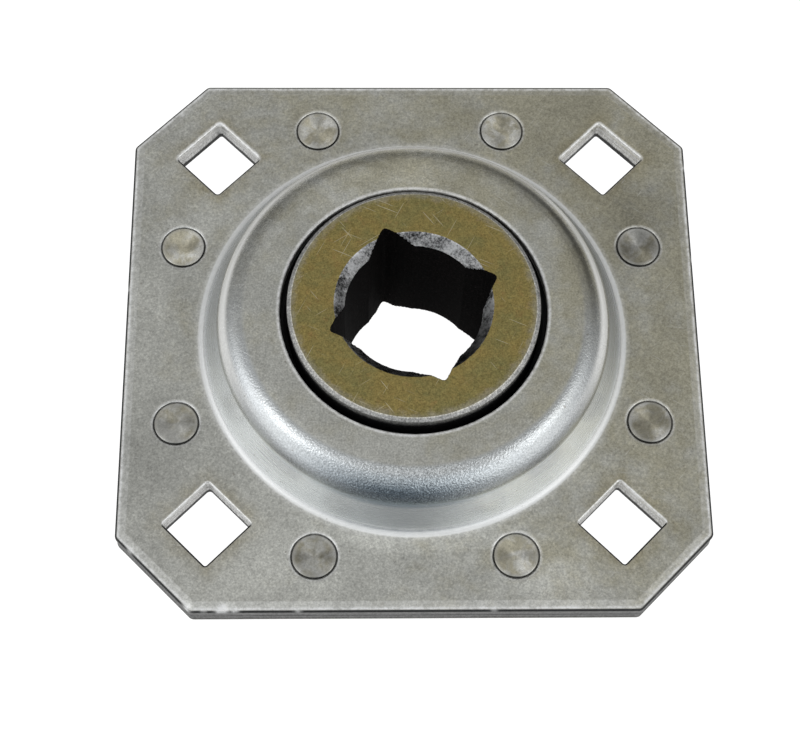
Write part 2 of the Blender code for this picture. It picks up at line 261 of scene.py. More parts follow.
def ripple(x, y):
    """Faint unevenness of a pressed sheet, in millimetres."""
    return (0.016 * np.sin(x / 9.3 + 1.1) * np.sin(y / 10.7 + 0.3)
            + 0.010 * np.sin((x + 1.7 * y) / 8.1 + 2.0)
            + 0.008 * np.sin((1.9 * x - y) / 6.3 + 0.7)
            + 0.004 * np.sin((x - 0.6 * y) / 2.9))


def grain(n, wiggles, seed):
    """Smooth closed noise of n samples, about -1 to 1."""
    draw = np.random.default_rng(seed)
    t = np.arange(n) / n * 2 * math.pi
    out = np.zeros(n)
    for i in range(6):
        frequency = max(1, int(wiggles * (0.35 + 0.4 * i)))
        weight = draw.uniform(0.4, 1.0) / (1 + 0.35 * i)
        out += weight * np.sin(frequency * t + draw.uniform(0, 6.28))
    return out / 2.2


# ------------------------------------------------------------------ node tools
FALLING = (1.0, 0.0)


class Value:
    """An output in a node tree; arithmetic and methods add the nodes that work on it."""

    def __init__(self, tree, socket):
        self.tree, self.socket = tree, socket

    def __add__(self, other):
        return self.tree.math("ADD", self, other)

    def __radd__(self, other):
        return self.tree.math("ADD", other, self)

    def __sub__(self, other):
        return self.tree.math("SUBTRACT", self, other)

    def __rsub__(self, other):
        return self.tree.math("SUBTRACT", other, self)

    def __mul__(self, other):
        return self.tree.math("MULTIPLY", self, other)

    def __truediv__(self, other):
        return self.tree.math("DIVIDE", self, other)

    def ease(self, over, to=(0.0, 1.0), kind="SMOOTHSTEP"):
        """Goes softly from to[0] to to[1] as the value crosses the span over."""
        inputs = {"Value": self, "From Min": over[0], "From Max": over[1],
                  "To Min": to[0], "To Max": to[1]}
        return self.tree.value("MapRange", "Result", inputs, interpolation_type=kind)

    def linear(self, over, to):
        return self.ease(over, to, "LINEAR")

    def roughness(self, low, high):
        """Noise stretched to a range of roughness."""
        return self.linear((0.3, 0.7), (low, high))

    def band(self, rise, fall):
        """1 between the two spans, 0 outside them."""
        return self.ease(rise) * self.ease(fall, FALLING)

    def noise(self, scale=1.0, detail=3.0, roughness=0.55, distortion=0.0):
        return self.tree.value("TexNoise", 0, {
            "Vector": self, "Scale": scale, "Detail": detail,
            "Roughness": roughness, "Distortion": distortion})

    def scaled(self, amount):
        """A vector or colour times one number."""
        return self.tree.value("VectorMath", 0, {0: self, "Scale": amount}, operation="SCALE")

    def mottled(self, noise, to, over=(0.28, 0.72)):
        """A colour brightened by noise stretched to the range to."""
        return self.scaled(noise.linear(over, to))

    def paint(self, color, amount):
        """A colour mixed towards another one."""
        return self.tree.mix(amount, self, color)


class Tree:
    """The node tree of a material or a world."""

    def __init__(self, owner):
        owner.use_nodes = True
        self.nodes, self.links = owner.node_tree.nodes, owner.node_tree.links

    def link(self, value, target):
        if isinstance(value, Value):
            self.links.new(value.socket, target)
        else:
            target.default_value = (*value, 1.0) if target.type == "RGBA" else value

    def node(self, kind, inputs=None, **settings):
        node = self.nodes.new("ShaderNode" + kind)
        for key, setting in settings.items():
            setattr(node, key, setting)
        for key, value in (inputs or {}).items():
            self.link(value, node.inputs[key])
        return node

    def value(self, kind, output, inputs=None, **settings):
        return Value(self, self.node(kind, inputs, **settings).outputs[output])

    def math(self, operation, *values, clamp=False):
        inputs = dict(enumerate(values))
        return self.value("Math", 0, inputs, operation=operation, use_clamp=clamp)

    def larger(self, a, b):
        return self.math("MAXIMUM", a, b)

    def vector_math(self, operation, *values, output=0):
        return self.value("VectorMath", output, dict(enumerate(values)), operation=operation)

    def combine(self, x, y, z):
        return self.value("CombineXYZ", 0, {0: x, 1: y, 2: z})

    def mix(self, factor, color_a, color_b):
        return self.value("Mix", 2, {0: factor, 6: color_a, 7: color_b}, data_type="RGBA")

    def blend(self, factor, number_a, number_b):
        return self.value("Mix", 0, {0: factor, 2: number_a, 3: number_b}, data_type="FLOAT")


class Shader(Tree):
    """A material on a Principled shader; places are in object millimetres."""

    def __init__(self, name):
        self.material = bpy.data.materials.new(name)
        super().__init__(self.material)
        self.place = self.value("TexCoord", "Object").scaled(1000.0)

    @cached_property
    def xyz(self):
        split = self.node("SeparateXYZ", {0: self.place})
        return [Value(self, output) for output in split.outputs]

    def radius(self):
        x, y, _ = self.xyz
        return self.vector_math("LENGTH", self.combine(x, y, 0.0), output="Value")

    def angle(self):
        return self.math("ARCTAN2", self.xyz[1], self.xyz[0])

    def toward(self, degrees, power):
        """1 in that direction round the axis, counted from +X to +Y, falling to 0 away from it."""
        a = math.radians(degrees)
        x, y, _ = self.xyz
        facing = (x * math.cos(a) + y * math.sin(a)) / self.larger(self.radius(), 0.01)
        return self.math("POWER", self.larger(facing, 0.0), power)

    def field(self, name):
        return self.value("Attribute", "Fac", attribute_name=name)

    def scratches(self, rows):
        """Thin straight scratches, 0 to 1.

        Rows: direction in degrees, lines per mm, length in mm, noise level kept, place shift."""
        return reduce(self.larger, [self.scratch(*row) for row in rows])

    def scratch(self, degrees, fineness, length, threshold, shift):
        turned = self.value("Mapping", 0, {
            "Vector": self.place, "Rotation": (0, 0, math.radians(degrees)),
            "Location": (shift * 3.7, shift * 1.9, 0)})
        stretched = self.value("Mapping", 0, {
            "Vector": turned, "Scale": (1.0 / length, fineness, 0.0)})
        line = stretched.noise(detail=1.0, roughness=0.5)
        return line.ease(over=(threshold, threshold + 0.035))

    def finish(self, color, roughness, metallic, relief, depth, more=None):
        """Fill the Principled inputs; depth is the height of the relief in millimetres."""
        normal = self.value("Bump", 0, {"Strength": 1.0, "Distance": depth * MM,
                                        "Height": relief})
        inputs = {"Base Color": color, "Roughness": roughness, "Metallic": metallic,
                  "Normal": normal, **(more or {})}
        for key, value in inputs.items():
            self.link(value, self.nodes["Principled BSDF"].inputs[key])
        return self.material


# ------------------------------------------------------------------ flange material
# soft lighter and darker patches on the face: x, y, size, brightness at the middle
FACE_PATCHES = (
    (-62, -29, 11, 0.76), (58, 29, 11, 0.74), (40, 50, 9, 0.88), (0, 37, 8, 1.26),
    (-19, 33, 8, 1.22), (44, 62, 9, 0.96), (-58, 22, 7, 1.06), (-52, 30, 9, 1.10),
    (-66, 8, 6, 1.10), (-30, 36, 8, 1.08), (30, -64, 9, 1.08), (-34, -60, 14, 1.14),
    (38, -58, 12, 1.10), (60, -20, 8, 0.95))
SHEET_SCRATCHES = ((34, 3.4, 9.0, 0.735, 1.0), (-51, 3.1, 7.0, 0.74, 2.3),
                   (8, 3.6, 12.0, 0.745, 4.1))


class PressedSteel(Shader):
    """Zinc-grey sheet with a drawn dome; the dome's zones are told apart by radius."""

    def __init__(self):
        super().__init__("pressed_steel_look")
        x, y, z = self.xyz
        place, toward, r = self.place, self.toward, self.radius()
        self.r = r
        self.mid = place.noise(scale=0.22, detail=4.0, roughness=0.62)
        self.small = place.noise(scale=0.85, detail=4.0, roughness=0.7)
        self.fine = place.noise(scale=2.2, detail=3.0, roughness=0.7)
        # zones: stretched shoulder, ironed wall, foot, and a painted highlight band up the wall,
        # away from -Y
        start = r + toward(degrees=268, power=3.0) * 0.8
        self.shoulder = start.ease(over=(39.9, 41.1)) * r.ease(over=(46.7, 47.2), to=FALLING)
        self.wall = r.band(rise=(46.8, 47.2), fall=(50.6, 51.2))
        self.foot = r.band(rise=(50.6, 51.1), fall=(51.9, 52.4))
        # the painted highlight band reaches further out towards +Y
        drawn = toward(degrees=90, power=8.0) * 2.4
        band_highlight = r.ease(over=(44.0, 45.3)) * (r - drawn).ease(over=(46.3, 47.0), to=FALLING)
        self.band_highlight = band_highlight * y.ease(over=(-32.0, -8.0))
        self.minus_y = y.ease(over=(16.0, -18.0))
        # lines drawn round and up the dome
        angle = self.angle()
        self.hoop = self.combine(angle * 1.6, r * 2.6, z * 0.7).noise(detail=2.0, roughness=0.5)
        self.streak = self.combine(angle * 60.0, z * 0.12, 0.0).noise(detail=4.0, roughness=0.6)
        # scratches and flecks, bright rims (partly worn edges, partly painted highlight), and the
        # striated sheared walls
        fleck = place.noise(scale=0.95, detail=2.0, roughness=0.5).ease(over=(0.745, 0.79))
        self.marks = self.larger(self.scratches(SHEET_SCRATCHES), fleck)
        self.rim = self.field("rim") * self.small.ease(over=(0.36, 0.60), to=(0.55, 1.10))
        self.cut = self.field("cut")
        self.tear = self.combine(x * 2.2, y * 2.2, z * 0.5).noise(detail=4.0, roughness=0.7)

    def sheet_color(self):
        """Mottled grey with an olive cast that grows towards +X and +Y."""
        x, y, _ = self.xyz
        place, mid = self.place, self.mid
        big = place.noise(scale=0.045, detail=4.0, roughness=0.6, distortion=0.4)
        side = x * 0.0020 + y * 0.0014
        tint = big * 0.65 + mid * 0.40 + side
        gray, olive = (0.520, 0.520, 0.487), (0.432, 0.412, 0.325)
        color = self.mix(tint.ease(over=(0.40, 0.74)), gray, olive)
        halo = self.field("halo") * mid.ease(over=(0.35, 0.65), to=(0.35, 1.0))
        color = color.paint((0.34, 0.30, 0.19), halo * 0.50)
        color = color.mottled(self.small, to=(0.84, 1.15)).mottled(self.fine, to=(0.68, 1.32))
        clouds = place.noise(scale=0.10, detail=3.0, roughness=0.55, distortion=0.3)
        color = color.scaled(clouds.ease(over=(0.30, 0.70), to=(0.92, 1.08)))
        for mark_x, mark_y, size, gain in FACE_PATCHES:
            distance = self.vector_math("DISTANCE", self.combine(x, y, 0.0),
                                        self.combine(mark_x, mark_y, 0.0), output="Value")
            distance = distance + (mid - 0.5) * 14.0
            color = color.scaled(distance.ease(over=(0.0, size * 1.6), to=(gain, 1.0)))
        return color

    def dome_color(self, color):
        """Brighter metal on the dome, with painted light and shade: lit and shaded sectors round
        the wall, highlights, glints and a dark bluish reflection on the -Y side.
        """
        r, toward, shoulder, wall = self.r, self.toward, self.shoulder, self.wall
        # painted sheen on the -Y side of the shoulder
        color = color.paint((0.56, 0.585, 0.605), shoulder * (self.minus_y * 0.80))
        color = color.paint((0.70, 0.725, 0.74), wall * 0.85)
        # painted light and shade round the wall: lighter towards 225 and 312 degrees, darker
        # towards 25, 40, 150 and 268
        wall_light_and_shade = (1.0 + toward(degrees=225, power=6.0) * 0.46
                  + toward(degrees=312, power=6.0) * 0.56
                  - toward(degrees=25, power=3.0) * 0.46
                  - toward(degrees=40, power=12.0) * 0.28
                  - toward(degrees=150, power=3.0) * 0.28
                  - toward(degrees=268, power=24.0) * 0.22)
        color = color.scaled(self.blend(wall, 1.0, self.math("MINIMUM", wall_light_and_shade, 1.40)))
        # painted shade on the shoulder towards 315 degrees
        color = color.scaled(1.0 - shoulder * (toward(degrees=315, power=6.0) * 0.12))
        # painted highlight band up the wall, away from -Y
        color = color.paint((0.93, 0.925, 0.90), self.band_highlight * 0.94)
        # painted shade on a band of the shoulder towards 30 degrees
        crease_shade = r.band(rise=(41.6, 42.7), fall=(43.3, 43.9))
        color = color.scaled(1.0 - crease_shade * (toward(degrees=30, power=6.0) * 0.55))
        # painted highlight along the foot
        color = color.paint((0.93, 0.94, 0.94), self.foot * 0.74)
        # painted light on the plate just outside the dome, towards -Y
        apron_light = r.band(rise=(51.6, 52.2), fall=(54.6, 57.5))
        color = color.scaled(1.0 + apron_light * (toward(degrees=266, power=10.0) * 0.30))
        # painted dark, bluish reflection on the -Y side of the shoulder
        dark = r.band(rise=(43.4, 45.4), fall=(47.2, 47.75)) * toward(degrees=264, power=22.0)
        color = color.paint((0.21, 0.265, 0.315), dark * 0.62)
        # a wider, paler painted cool reflection on the -Y side
        cold_reflection = r.band(rise=(41.2, 43.4), fall=(47.2, 47.75)) * toward(degrees=266, power=10.0)
        color = color.paint((0.44, 0.515, 0.57), cold_reflection * 0.45)
        # painted glints on the shoulder's grain, on the -Y side, strongest at -Y
        glint = self.place.noise(scale=2.5, detail=2.0, roughness=0.6)
        centre = self.blend(toward(degrees=270, power=10.0), 0.30, 1.0)
        sparkle = glint.linear(over=(0.36, 0.64), to=(0.62, 1.36))
        return color.scaled(self.blend(shoulder * self.minus_y * centre, 1.0, sparkle))

    def marked_color(self, color):
        """Scratches, dark spots, bright rims (partly worn, partly painted highlight), the sheared
        walls and painted shade.
        """
        color = color.paint((0.76, 0.76, 0.74), self.marks * 0.42)
        spots = self.place.noise(scale=0.62, detail=2.0, roughness=0.5)
        color = color.paint((0.22, 0.20, 0.17), spots.ease(over=(0.27, 0.235)) * 0.45)
        # bright rims: partly worn edges, partly painted highlight
        color = color.paint((0.92, 0.92, 0.92), self.math("MULTIPLY", self.rim, 0.85, clamp=True))
        color = color.paint((0.90, 0.895, 0.88), self.cut * 0.85)
        # painted shade: near black along the outlines, the seam, the sheared outer walls and the -Y
        # sides of the holes
        painted_shade = self.field("painted_shade")
        color = color.paint((0.030, 0.030, 0.030), painted_shade)
        torn = self.tear.linear(over=(0.32, 0.66), to=(0.50, 1.12))
        return color.scaled(self.blend(self.larger(self.cut, painted_shade), 1.0, torn))

    def surface_roughness(self):
        rough = self.small.roughness(0.40, 0.52)
        rough = self.blend(self.shoulder, rough, self.small.roughness(0.19, 0.28))
        rough = self.blend(self.wall, rough, self.hoop.roughness(0.22, 0.32))
        return self.blend(self.rim * 0.7, rough, 0.26)

    def relief(self):
        """Soft grain everywhere, orange peel on the shoulder, faint lines on wall and foot."""
        cells = self.value("TexVoronoi", "Distance",
                           {"Vector": self.place, "Scale": 1.9, "Randomness": 1.0})
        peel = self.place.noise(scale=2.3, detail=3.0, roughness=0.65) + cells * 0.45
        peeled = self.shoulder * self.blend(self.toward(degrees=270, power=8.0), 0.38, 1.0)
        height = self.place.noise(scale=1.0, detail=4.0, roughness=0.65) * 0.16 + self.fine * 0.03
        height = height + peel * peeled * 1.15
        height = height + self.hoop * self.larger(self.wall, self.foot) * 0.10
        height = height + self.streak * self.wall * 0.06
        height = height - self.marks * 0.12
        return height + self.tear * self.cut * 1.2

    def metallic(self):
        metal = 1.0 - self.larger(self.wall, self.foot) * 0.38
        # lower metallic under the painted highlight band, so it reads lighter
        metal = metal - self.band_highlight * self.blend(self.wall, 1.0, 0.45) * 0.75
        edges = self.math("MULTIPLY", self.larger(self.rim, self.cut), 0.70, clamp=True)
        return metal * (1.0 - edges)

    def build(self):
        color = self.marked_color(self.dome_color(self.sheet_color()))
        return self.finish(color, self.surface_roughness(), self.metallic(),
                           relief=self.relief(), depth=0.09)


# ------------------------------------------------------------------ other materials
def rivet_steel():
    """Brushed heads with a painted bow-tie highlight; each object's place shifts the pattern and
    its colour sets the tone, which is partly painted light.
    """
    look = Shader("rivet_steel_look")
    r = look.radius()
    info = look.node("ObjectInfo")
    location, tone = (Value(look, info.outputs[key]) for key in ("Location", "Color"))
    spot = look.vector_math("ADD", look.place, location.scaled(260.0))
    big = spot.noise(scale=0.20, detail=3.0, roughness=0.6, distortion=0.5)
    small = spot.noise(scale=1.2, detail=4.0, roughness=0.7)
    fine = spot.noise(scale=2.8, detail=3.0, roughness=0.7)
    rings = look.combine(r * 2.6, 0.0, big * 0.5).noise(detail=3.0, roughness=0.7)
    color = look.mix(big.ease(over=(0.36, 0.62)), (0.56, 0.555, 0.525), (0.385, 0.362, 0.285))
    # painted bow-tie highlight: two light and two dark sectors, fading at the middle and the rim
    bow_tie_sheen = look.math("COSINE", (look.angle() + big * 1.6) * 2.0)
    bow_tie_sheen = bow_tie_sheen * (r.ease(over=(0.2, 2.2)) * r.ease(over=(3.4, 5.0), to=(1.0, 0.25)))
    color = color.mottled(bow_tie_sheen, over=(-1.0, 1.0), to=(0.78, 1.26))
    color = color.mottled(small, to=(0.80, 1.20)).mottled(fine, to=(0.80, 1.20)).scaled(tone)
    # a lighter ring inside the edge, then painted shade at the very edge, where the head meets its
    # hole
    color = color.paint((0.62, 0.62, 0.60), r.ease(over=(4.2, 4.8)) * 0.35)
    color = color.paint((0.05, 0.05, 0.048), r.ease(over=(5.0, 5.22)))
    tangent = look.value("Tangent", 0, direction_type="RADIAL", axis="Z")
    return look.finish(
        color, fine.roughness(0.36, 0.44), metallic=1.0,
        relief=rings * 0.8 + small * 0.35, depth=0.025,
        more={"Anisotropic": 0.9, "Anisotropic Rotation": 0.25, "Tangent": tangent})


FACE_SCRATCHES = ((-33, 2.9, 16.0, 0.715, 7.0), (52, 2.7, 12.0, 0.72, 9.0),
                  (-62, 3.0, 16.0, 0.725, 5.0), (24, 2.9, 14.0, 0.725, 3.0))


def ring_face():
    """Golden, scratched end faces that turn paler towards the edge."""
    look = Shader("inner_ring_gold")
    place, r = look.place, look.radius()
    big = place.noise(scale=0.09, detail=4.0, roughness=0.6, distortion=0.6)
    mid = place.noise(scale=0.45, detail=4.0, roughness=0.65)
    small = place.noise(scale=1.1, detail=4.0, roughness=0.7)
    fine = place.noise(scale=2.6, detail=3.0, roughness=0.7)
    color = look.mix(big.ease(over=(0.35, 0.66)), (0.315, 0.246, 0.088), (0.262, 0.228, 0.090))
    color = color.paint((0.325, 0.205, 0.080), mid.ease(over=(0.53, 0.74), to=(0.0, 0.55)))
    color = color.paint((0.235, 0.225, 0.095), mid.ease(over=(0.46, 0.30), to=(0.0, 0.45)))
    border = r + (mid - 0.5) * 5.0
    color = color.paint((0.345, 0.325, 0.245), border.ease(over=(26.9, 29.6), to=(0.0, 0.75)))
    color = color.mottled(small, to=(0.80, 1.22)).mottled(fine, to=(0.64, 1.42))
    marks = look.scratches(FACE_SCRATCHES)
    color = color.paint((0.66, 0.60, 0.44), marks * 0.75)
    turning = look.combine(r * 5.0, 0.0, 0.0).noise(detail=3.0, roughness=0.7)
    return look.finish(color, small.roughness(0.38, 0.52), metallic=0.95,
                       relief=small * 0.5 + turning * 0.18 - marks * 0.4, depth=0.04)


def ring_edge():
    """Outside of the inner ring: near black with painted shade where it goes into the housing,
    brighter towards both ends.
    """
    look = Shader("inner_ring_edge")
    fine = look.place.noise(scale=1.9, detail=5.0, roughness=0.8)
    big = look.place.noise(scale=0.25, detail=3.0, roughness=0.6)
    height = look.math("ABSOLUTE", look.xyz[2])
    # near black below 17.4 mm from the middle, inside the housing: painted shade
    lit = (height + (fine - 0.5) * 1.6).ease(over=(17.4, 19.2))
    color = look.mix(lit, (0.05, 0.05, 0.052), (0.50, 0.495, 0.48))
    color = color.paint((0.74, 0.72, 0.66), height.ease(over=(20.35, 20.58)))
    color = color.mottled(fine, over=(0.36, 0.62), to=(0.35, 1.35))
    color = color.mottled(big, over=(0.3, 0.7), to=(0.80, 1.1))
    return look.finish(color, fine.roughness(0.38, 0.55), metallic=1.0, relief=fine, depth=0.14)


def bore_black():
    """The square bore: matt black with lines pulled along Z."""
    look = Shader("inner_ring_bore")
    x, y, z = look.xyz
    fine = look.place.noise(scale=1.6, detail=5.0, roughness=0.75)
    pull = look.combine(x * 2.0, y * 2.0, z * 0.12).noise(detail=4.0, roughness=0.7)
    spot = look.place.noise(scale=0.9, detail=2.0, roughness=0.5).ease(over=(0.75, 0.79))
    color = look.mix(fine.ease(over=(0.48, 0.72)), (0.0022, 0.0018, 0.0018),
                     (0.016, 0.0125, 0.012))
    color = color.paint((0.09, 0.08, 0.075), spot * 0.5)
    return look.finish(color, roughness=0.80, metallic=0.0, relief=fine + pull * 0.8, depth=0.10,
                       more={"Specular IOR Level": 0.03})


def lead_in():
    """The bevel at each mouth of the bore: blotchy, with painted shade towards -Y."""
    look = Shader("inner_ring_lead_in")
    fine = look.place.noise(scale=1.5, detail=5.0, roughness=0.85)
    big = look.place.noise(scale=0.28, detail=3.0, roughness=0.6)
    blotches = (fine * 0.6 + big * 0.4).ease(over=(0.40, 0.60))
    color = look.mix(blotches, (0.035, 0.034, 0.034), (0.74, 0.74, 0.74))
    # painted shade towards -Y, which turns with the ring
    color = color.scaled(look.blend(look.toward(degrees=285, power=0.7), 1.0, 0.10))
    return look.finish(color, fine.roughness(0.30, 0.46), metallic=1.0, relief=fine, depth=0.22)


def plain_metal(name, color, roughness, turned=True, shade=0.85):
    """Even metal, with turning lines if turned; shade is the darker tone's share of the colour."""
    look = Shader(name)
    fine = look.place.noise(scale=3.0, detail=4.0, roughness=0.6)
    big = look.place.noise(scale=0.2, detail=3.0, roughness=0.6)
    toned = look.mix(big.ease(over=(0.3, 0.7)), color, tuple(c * shade for c in color))
    toned = toned.mottled(fine, over=(0.3, 0.7), to=(0.94, 1.05))
    relief = fine
    if turned:
        lines = look.combine(look.radius() * 6.0, 0.0, look.xyz[2] * 6.0)
        relief = fine * 0.4 + lines.noise(detail=3.0, roughness=0.7)
    return look.finish(toned, fine.roughness(*roughness), metallic=1.0,
                       relief=relief, depth=0.01)


def seal_rubber():
    look = Shader("seal_rubber_look")
    fine = look.place.noise(scale=4.0, detail=4.0, roughness=0.6)
    color = look.mix(fine.ease(over=(0.35, 0.7)), (0.010, 0.010, 0.011), (0.026, 0.026, 0.027))
    return look.finish(color, fine.roughness(0.52, 0.68), metallic=0.0, relief=fine, depth=0.03,
                       more={"Specular IOR Level": 0.35})


FLANGE_STEEL = PressedSteel().build()
RIVET_STEEL = rivet_steel()
RING_MATERIALS = [ring_face(), ring_edge(), bore_black(), lead_in()]
RACE_STEEL = plain_metal("race_steel_look", color=(0.50, 0.51, 0.53), roughness=(0.18, 0.28))
RING_MATERIALS.append(RACE_STEEL)
CASE_STEEL = plain_metal("seal_case_look", color=(0.10, 0.10, 0.105), roughness=(0.35, 0.5))
CAGE_STEEL = plain_metal("cage_steel_look", color=(0.56, 0.55, 0.52), roughness=(0.28, 0.40),
                         turned=False)
CAGE_RIVET = plain_metal("cage_rivet_look", color=(0.52, 0.52, 0.50), roughness=(0.28, 0.40))
BALL_STEEL = plain_metal("ball_steel_look", color=(0.76, 0.77, 0.79), roughness=(0.05, 0.09),
                         turned=False, shade=0.97)
RUBBER = seal_rubber()


# ------------------------------------------------------------------ flat faces with holes
def inside_loop(x, y, loop):
    """Which points lie inside a closed loop."""
    out = np.zeros(len(x), bool)
    lo, hi = loop.min(0), loop.max(0)
    pick = np.nonzero((x > lo[0]) & (x < hi[0]) & (y > lo[1]) & (y < hi[1]))[0]
    px, py = x[pick], y[pick]
    hit = np.zeros(len(pick), bool)
    for (ax, ay), (bx, by) in zip(loop, np.roll(loop, -1, axis=0)):
        if ay != by:
            span = (ay > py) != (by > py)
            hit ^= span & (px < (bx - ax) * (py - ay) / (by - ay) + ax)
    out[pick] = hit
    return out


def triangulate(outline, holes, free=None):
    """Triangles between an outline and its holes, all given as (indices, xy) of closed loops.

    Free points, given the same way, are used as well."""
    indices, xy, edges = [], [], []
    for loop_indices, points in [outline, *holes]:
        base, n = len(xy), len(loop_indices)
        indices.extend(loop_indices.tolist())
        xy.extend(points.tolist())
        edges.extend([(base + i, base + (i + 1) % n) for i in range(n)])
    if free is not None:
        indices.extend(free[0].tolist())
        xy.extend(free[1].tolist())
    verts, _, faces, origins, _, _ = geometry.delaunay_2d_cdt(
        [Vector(p) for p in xy], edges, [], 0, 1e-6)
    source = np.array([indices[o[0]] for o in origins])
    faces = np.array(faces)
    corners = np.array([(p.x, p.y) for p in verts])[faces]
    centre = corners.mean(1)
    side_a, side_b = corners[:, 1] - corners[:, 0], corners[:, 2] - corners[:, 0]
    longest = np.sqrt(np.maximum.reduce([
        (side_a ** 2).sum(1), (side_b ** 2).sum(1), ((side_b - side_a) ** 2).sum(1)]))
    # slivers along straight edges are dropped
    height = np.abs(side_a[:, 0] * side_b[:, 1] - side_a[:, 1] * side_b[:, 0]) / longest
    keep = height > 2e-4
    for _, loop in holes:
        keep &= ~inside_loop(centre[:, 0], centre[:, 1], loop)
    return source[faces[keep]].tolist()


# ------------------------------------------------------------------ flange
# edge dings: x, y, reach, depth, pushed down from the plate's face
DINGS = [
    (-44.5, -69.4, 1.3, 0.38), (-41.5, -69.6, 0.8, 0.22), (-27.0, -69.6, 0.7, 0.16),
    (18.0, -69.7, 0.7, 0.14), (-66.0, -55.0, 0.9, 0.15), (69.6, 20.0, 0.8, 0.15),
    (-69.5, 12.0, 0.8, 0.15), (69.4, 46.0, 0.7, 0.2), (-58.4, 61.5, 0.8, 0.16),
    (55.0, -65.2, 0.7, 0.13), (-52.6, -68.7, 1.1, 0.26), (-48.6, -69.3, 0.7, 0.15)]
# bolt holes: side in x, side in y, corner radius, width and depth of the rolled rim
BOLT_HOLES = [(1, 1, 0.6, 0.85, 0.50), (-1, 1, 0.9, 0.95, 0.55),
              (-1, -1, 0.6, 0.58, 0.40), (1, -1, 0.6, 0.55, 0.40)]
FACE_INSET = 3.0                            # where the rolled border meets the flat face
FACE_RIPPLE_FROM, FACE_RIPPLE_FULL = 50.5, 55.0
EDGE_ROUND = 0.34
# insets of the border's rings from the outline
BORDER_INSETS = (FACE_INSET, 2.7, 2.45, 2.2, 1.9, 1.5, 1.1, 0.85, 0.66, 0.5, 0.38, 0.30, 0.23,
                 0.16, 0.1, 0.04, 0.0)
# sheared outer wall: share of the way down, inset, cut
OUTER_WALL = ((0.45, 0.0, 0.25), (1.0, 0.0, 0.35), (1.12, 0.07, 1.0), (1.5, 0.10, 1.0),
              (2.2, 0.12, 1.0), (2.9, 0.08, 1.0))
OUTER_WALL_INSET = 0.13                     # at the seam
# bolt hole rim: outer ring's distance in mm, then distances as shares of the rim width
BOLT_RIM_START = 1.35
BOLT_RIM_SHARES = (1.0, 0.8, 0.62, 0.5, 0.38, 0.28, 0.18, 0.09, 0.03, 0.0)
# bolt hole wall: share of the way down, growth of the hole, cut, painted shade on the rear flange
BOLT_WALL = ((0.5, 0.0, 0.15, 1.0), (1.0, 0.0, 0.3, 0.95), (1.13, 0.06, 1.0, 0.3),
             (1.45, 0.09, 1.0, 0.0), (1.8, 0.11, 1.0, 0.0))
RIVET_STEPS = 72
RIVET_RIM = (1.3, 1.0, 0.8, 0.64, 0.5, 0.38, 0.27, 0.17, 0.08, 0.03, 0.0)
RIVET_SHANK_HOLE = 4.05
# countersink below the rivet hole's rim: radius, z
RIVET_WALL = ((RIVET_HOLE, 3.02), (RIVET_HOLE - 0.05, 2.95), (4.1, 1.5),
              (RIVET_SHANK_HOLE, 1.42), (RIVET_SHANK_HOLE, 0.5))
DOME_STEPS = 480
SHOULDER_AT, SHOULDER_RADIUS = 38.7, 8.87


def ding(x, y):
    depth = np.zeros(len(x))
    for ding_x, ding_y, reach, deep in DINGS:
        depth += deep * np.exp(-((x - ding_x) ** 2 + (y - ding_y) ** 2) / (reach * reach))
    return depth


def plate_z(xy):
    x, y = xy[:, 0], xy[:, 1]
    fade = smooth(np.hypot(x, y), FACE_RIPPLE_FROM, FACE_RIPPLE_FULL)
    return PLATE_TOP + ripple(x, y) * fade - ding(x, y)


def plate_outline(inset):
    """The square with cut corners, moved inwards: points and inward normals."""
    a, q = HALF - inset, HALF - CORNER_CUT - 0.41421 * inset
    corners = [(a, -q), (a, q), (q, a), (-q, a), (-a, q), (-a, -q), (-q, -a), (q, -a)]
    return rounded_loop(corners, max(1.7 - inset, 0.3), 6, counts=[140, 32] * 4)


def bolt_distance(x, y, side_x, side_y):
    """Distance from a bolt hole's middle, measured square to its diagonal sides."""
    dx, dy = x - side_x * BOLT_AT, y - side_y * BOLT_AT
    return np.maximum(np.abs(dx + dy), np.abs(dy - dx)) / math.sqrt(2)


def face_points():
    """Free points on the plate's face that carry the ripple, clear of every edge."""
    x, y = np.meshgrid(np.arange(-68.0, 68.1, 2.4), np.arange(-68.0, 68.1, 2.1))
    x = x + (np.arange(x.shape[0]) % 2)[:, None] * 1.2
    x, y = x.ravel(), y.ravel()
    inset = 4.1
    side, diagonal = HALF - inset, 2 * HALF - CORNER_CUT - inset * math.sqrt(2)
    keep = (np.abs(x) < side) & (np.abs(y) < side) & (np.abs(x) + np.abs(y) < diagonal)
    keep &= np.hypot(x, y) > 54.6
    for side_x, side_y, *_ in BOLT_HOLES:
        keep &= bolt_distance(x, y, side_x, side_y) >= BOLT_HALF + 2.3
    for centre_x, centre_y in RIVET_CENTRES:
        keep &= np.hypot(x - centre_x, y - centre_y) > RIVET_HOLE + 2.0
    return np.stack([x[keep], y[keep]], 1)


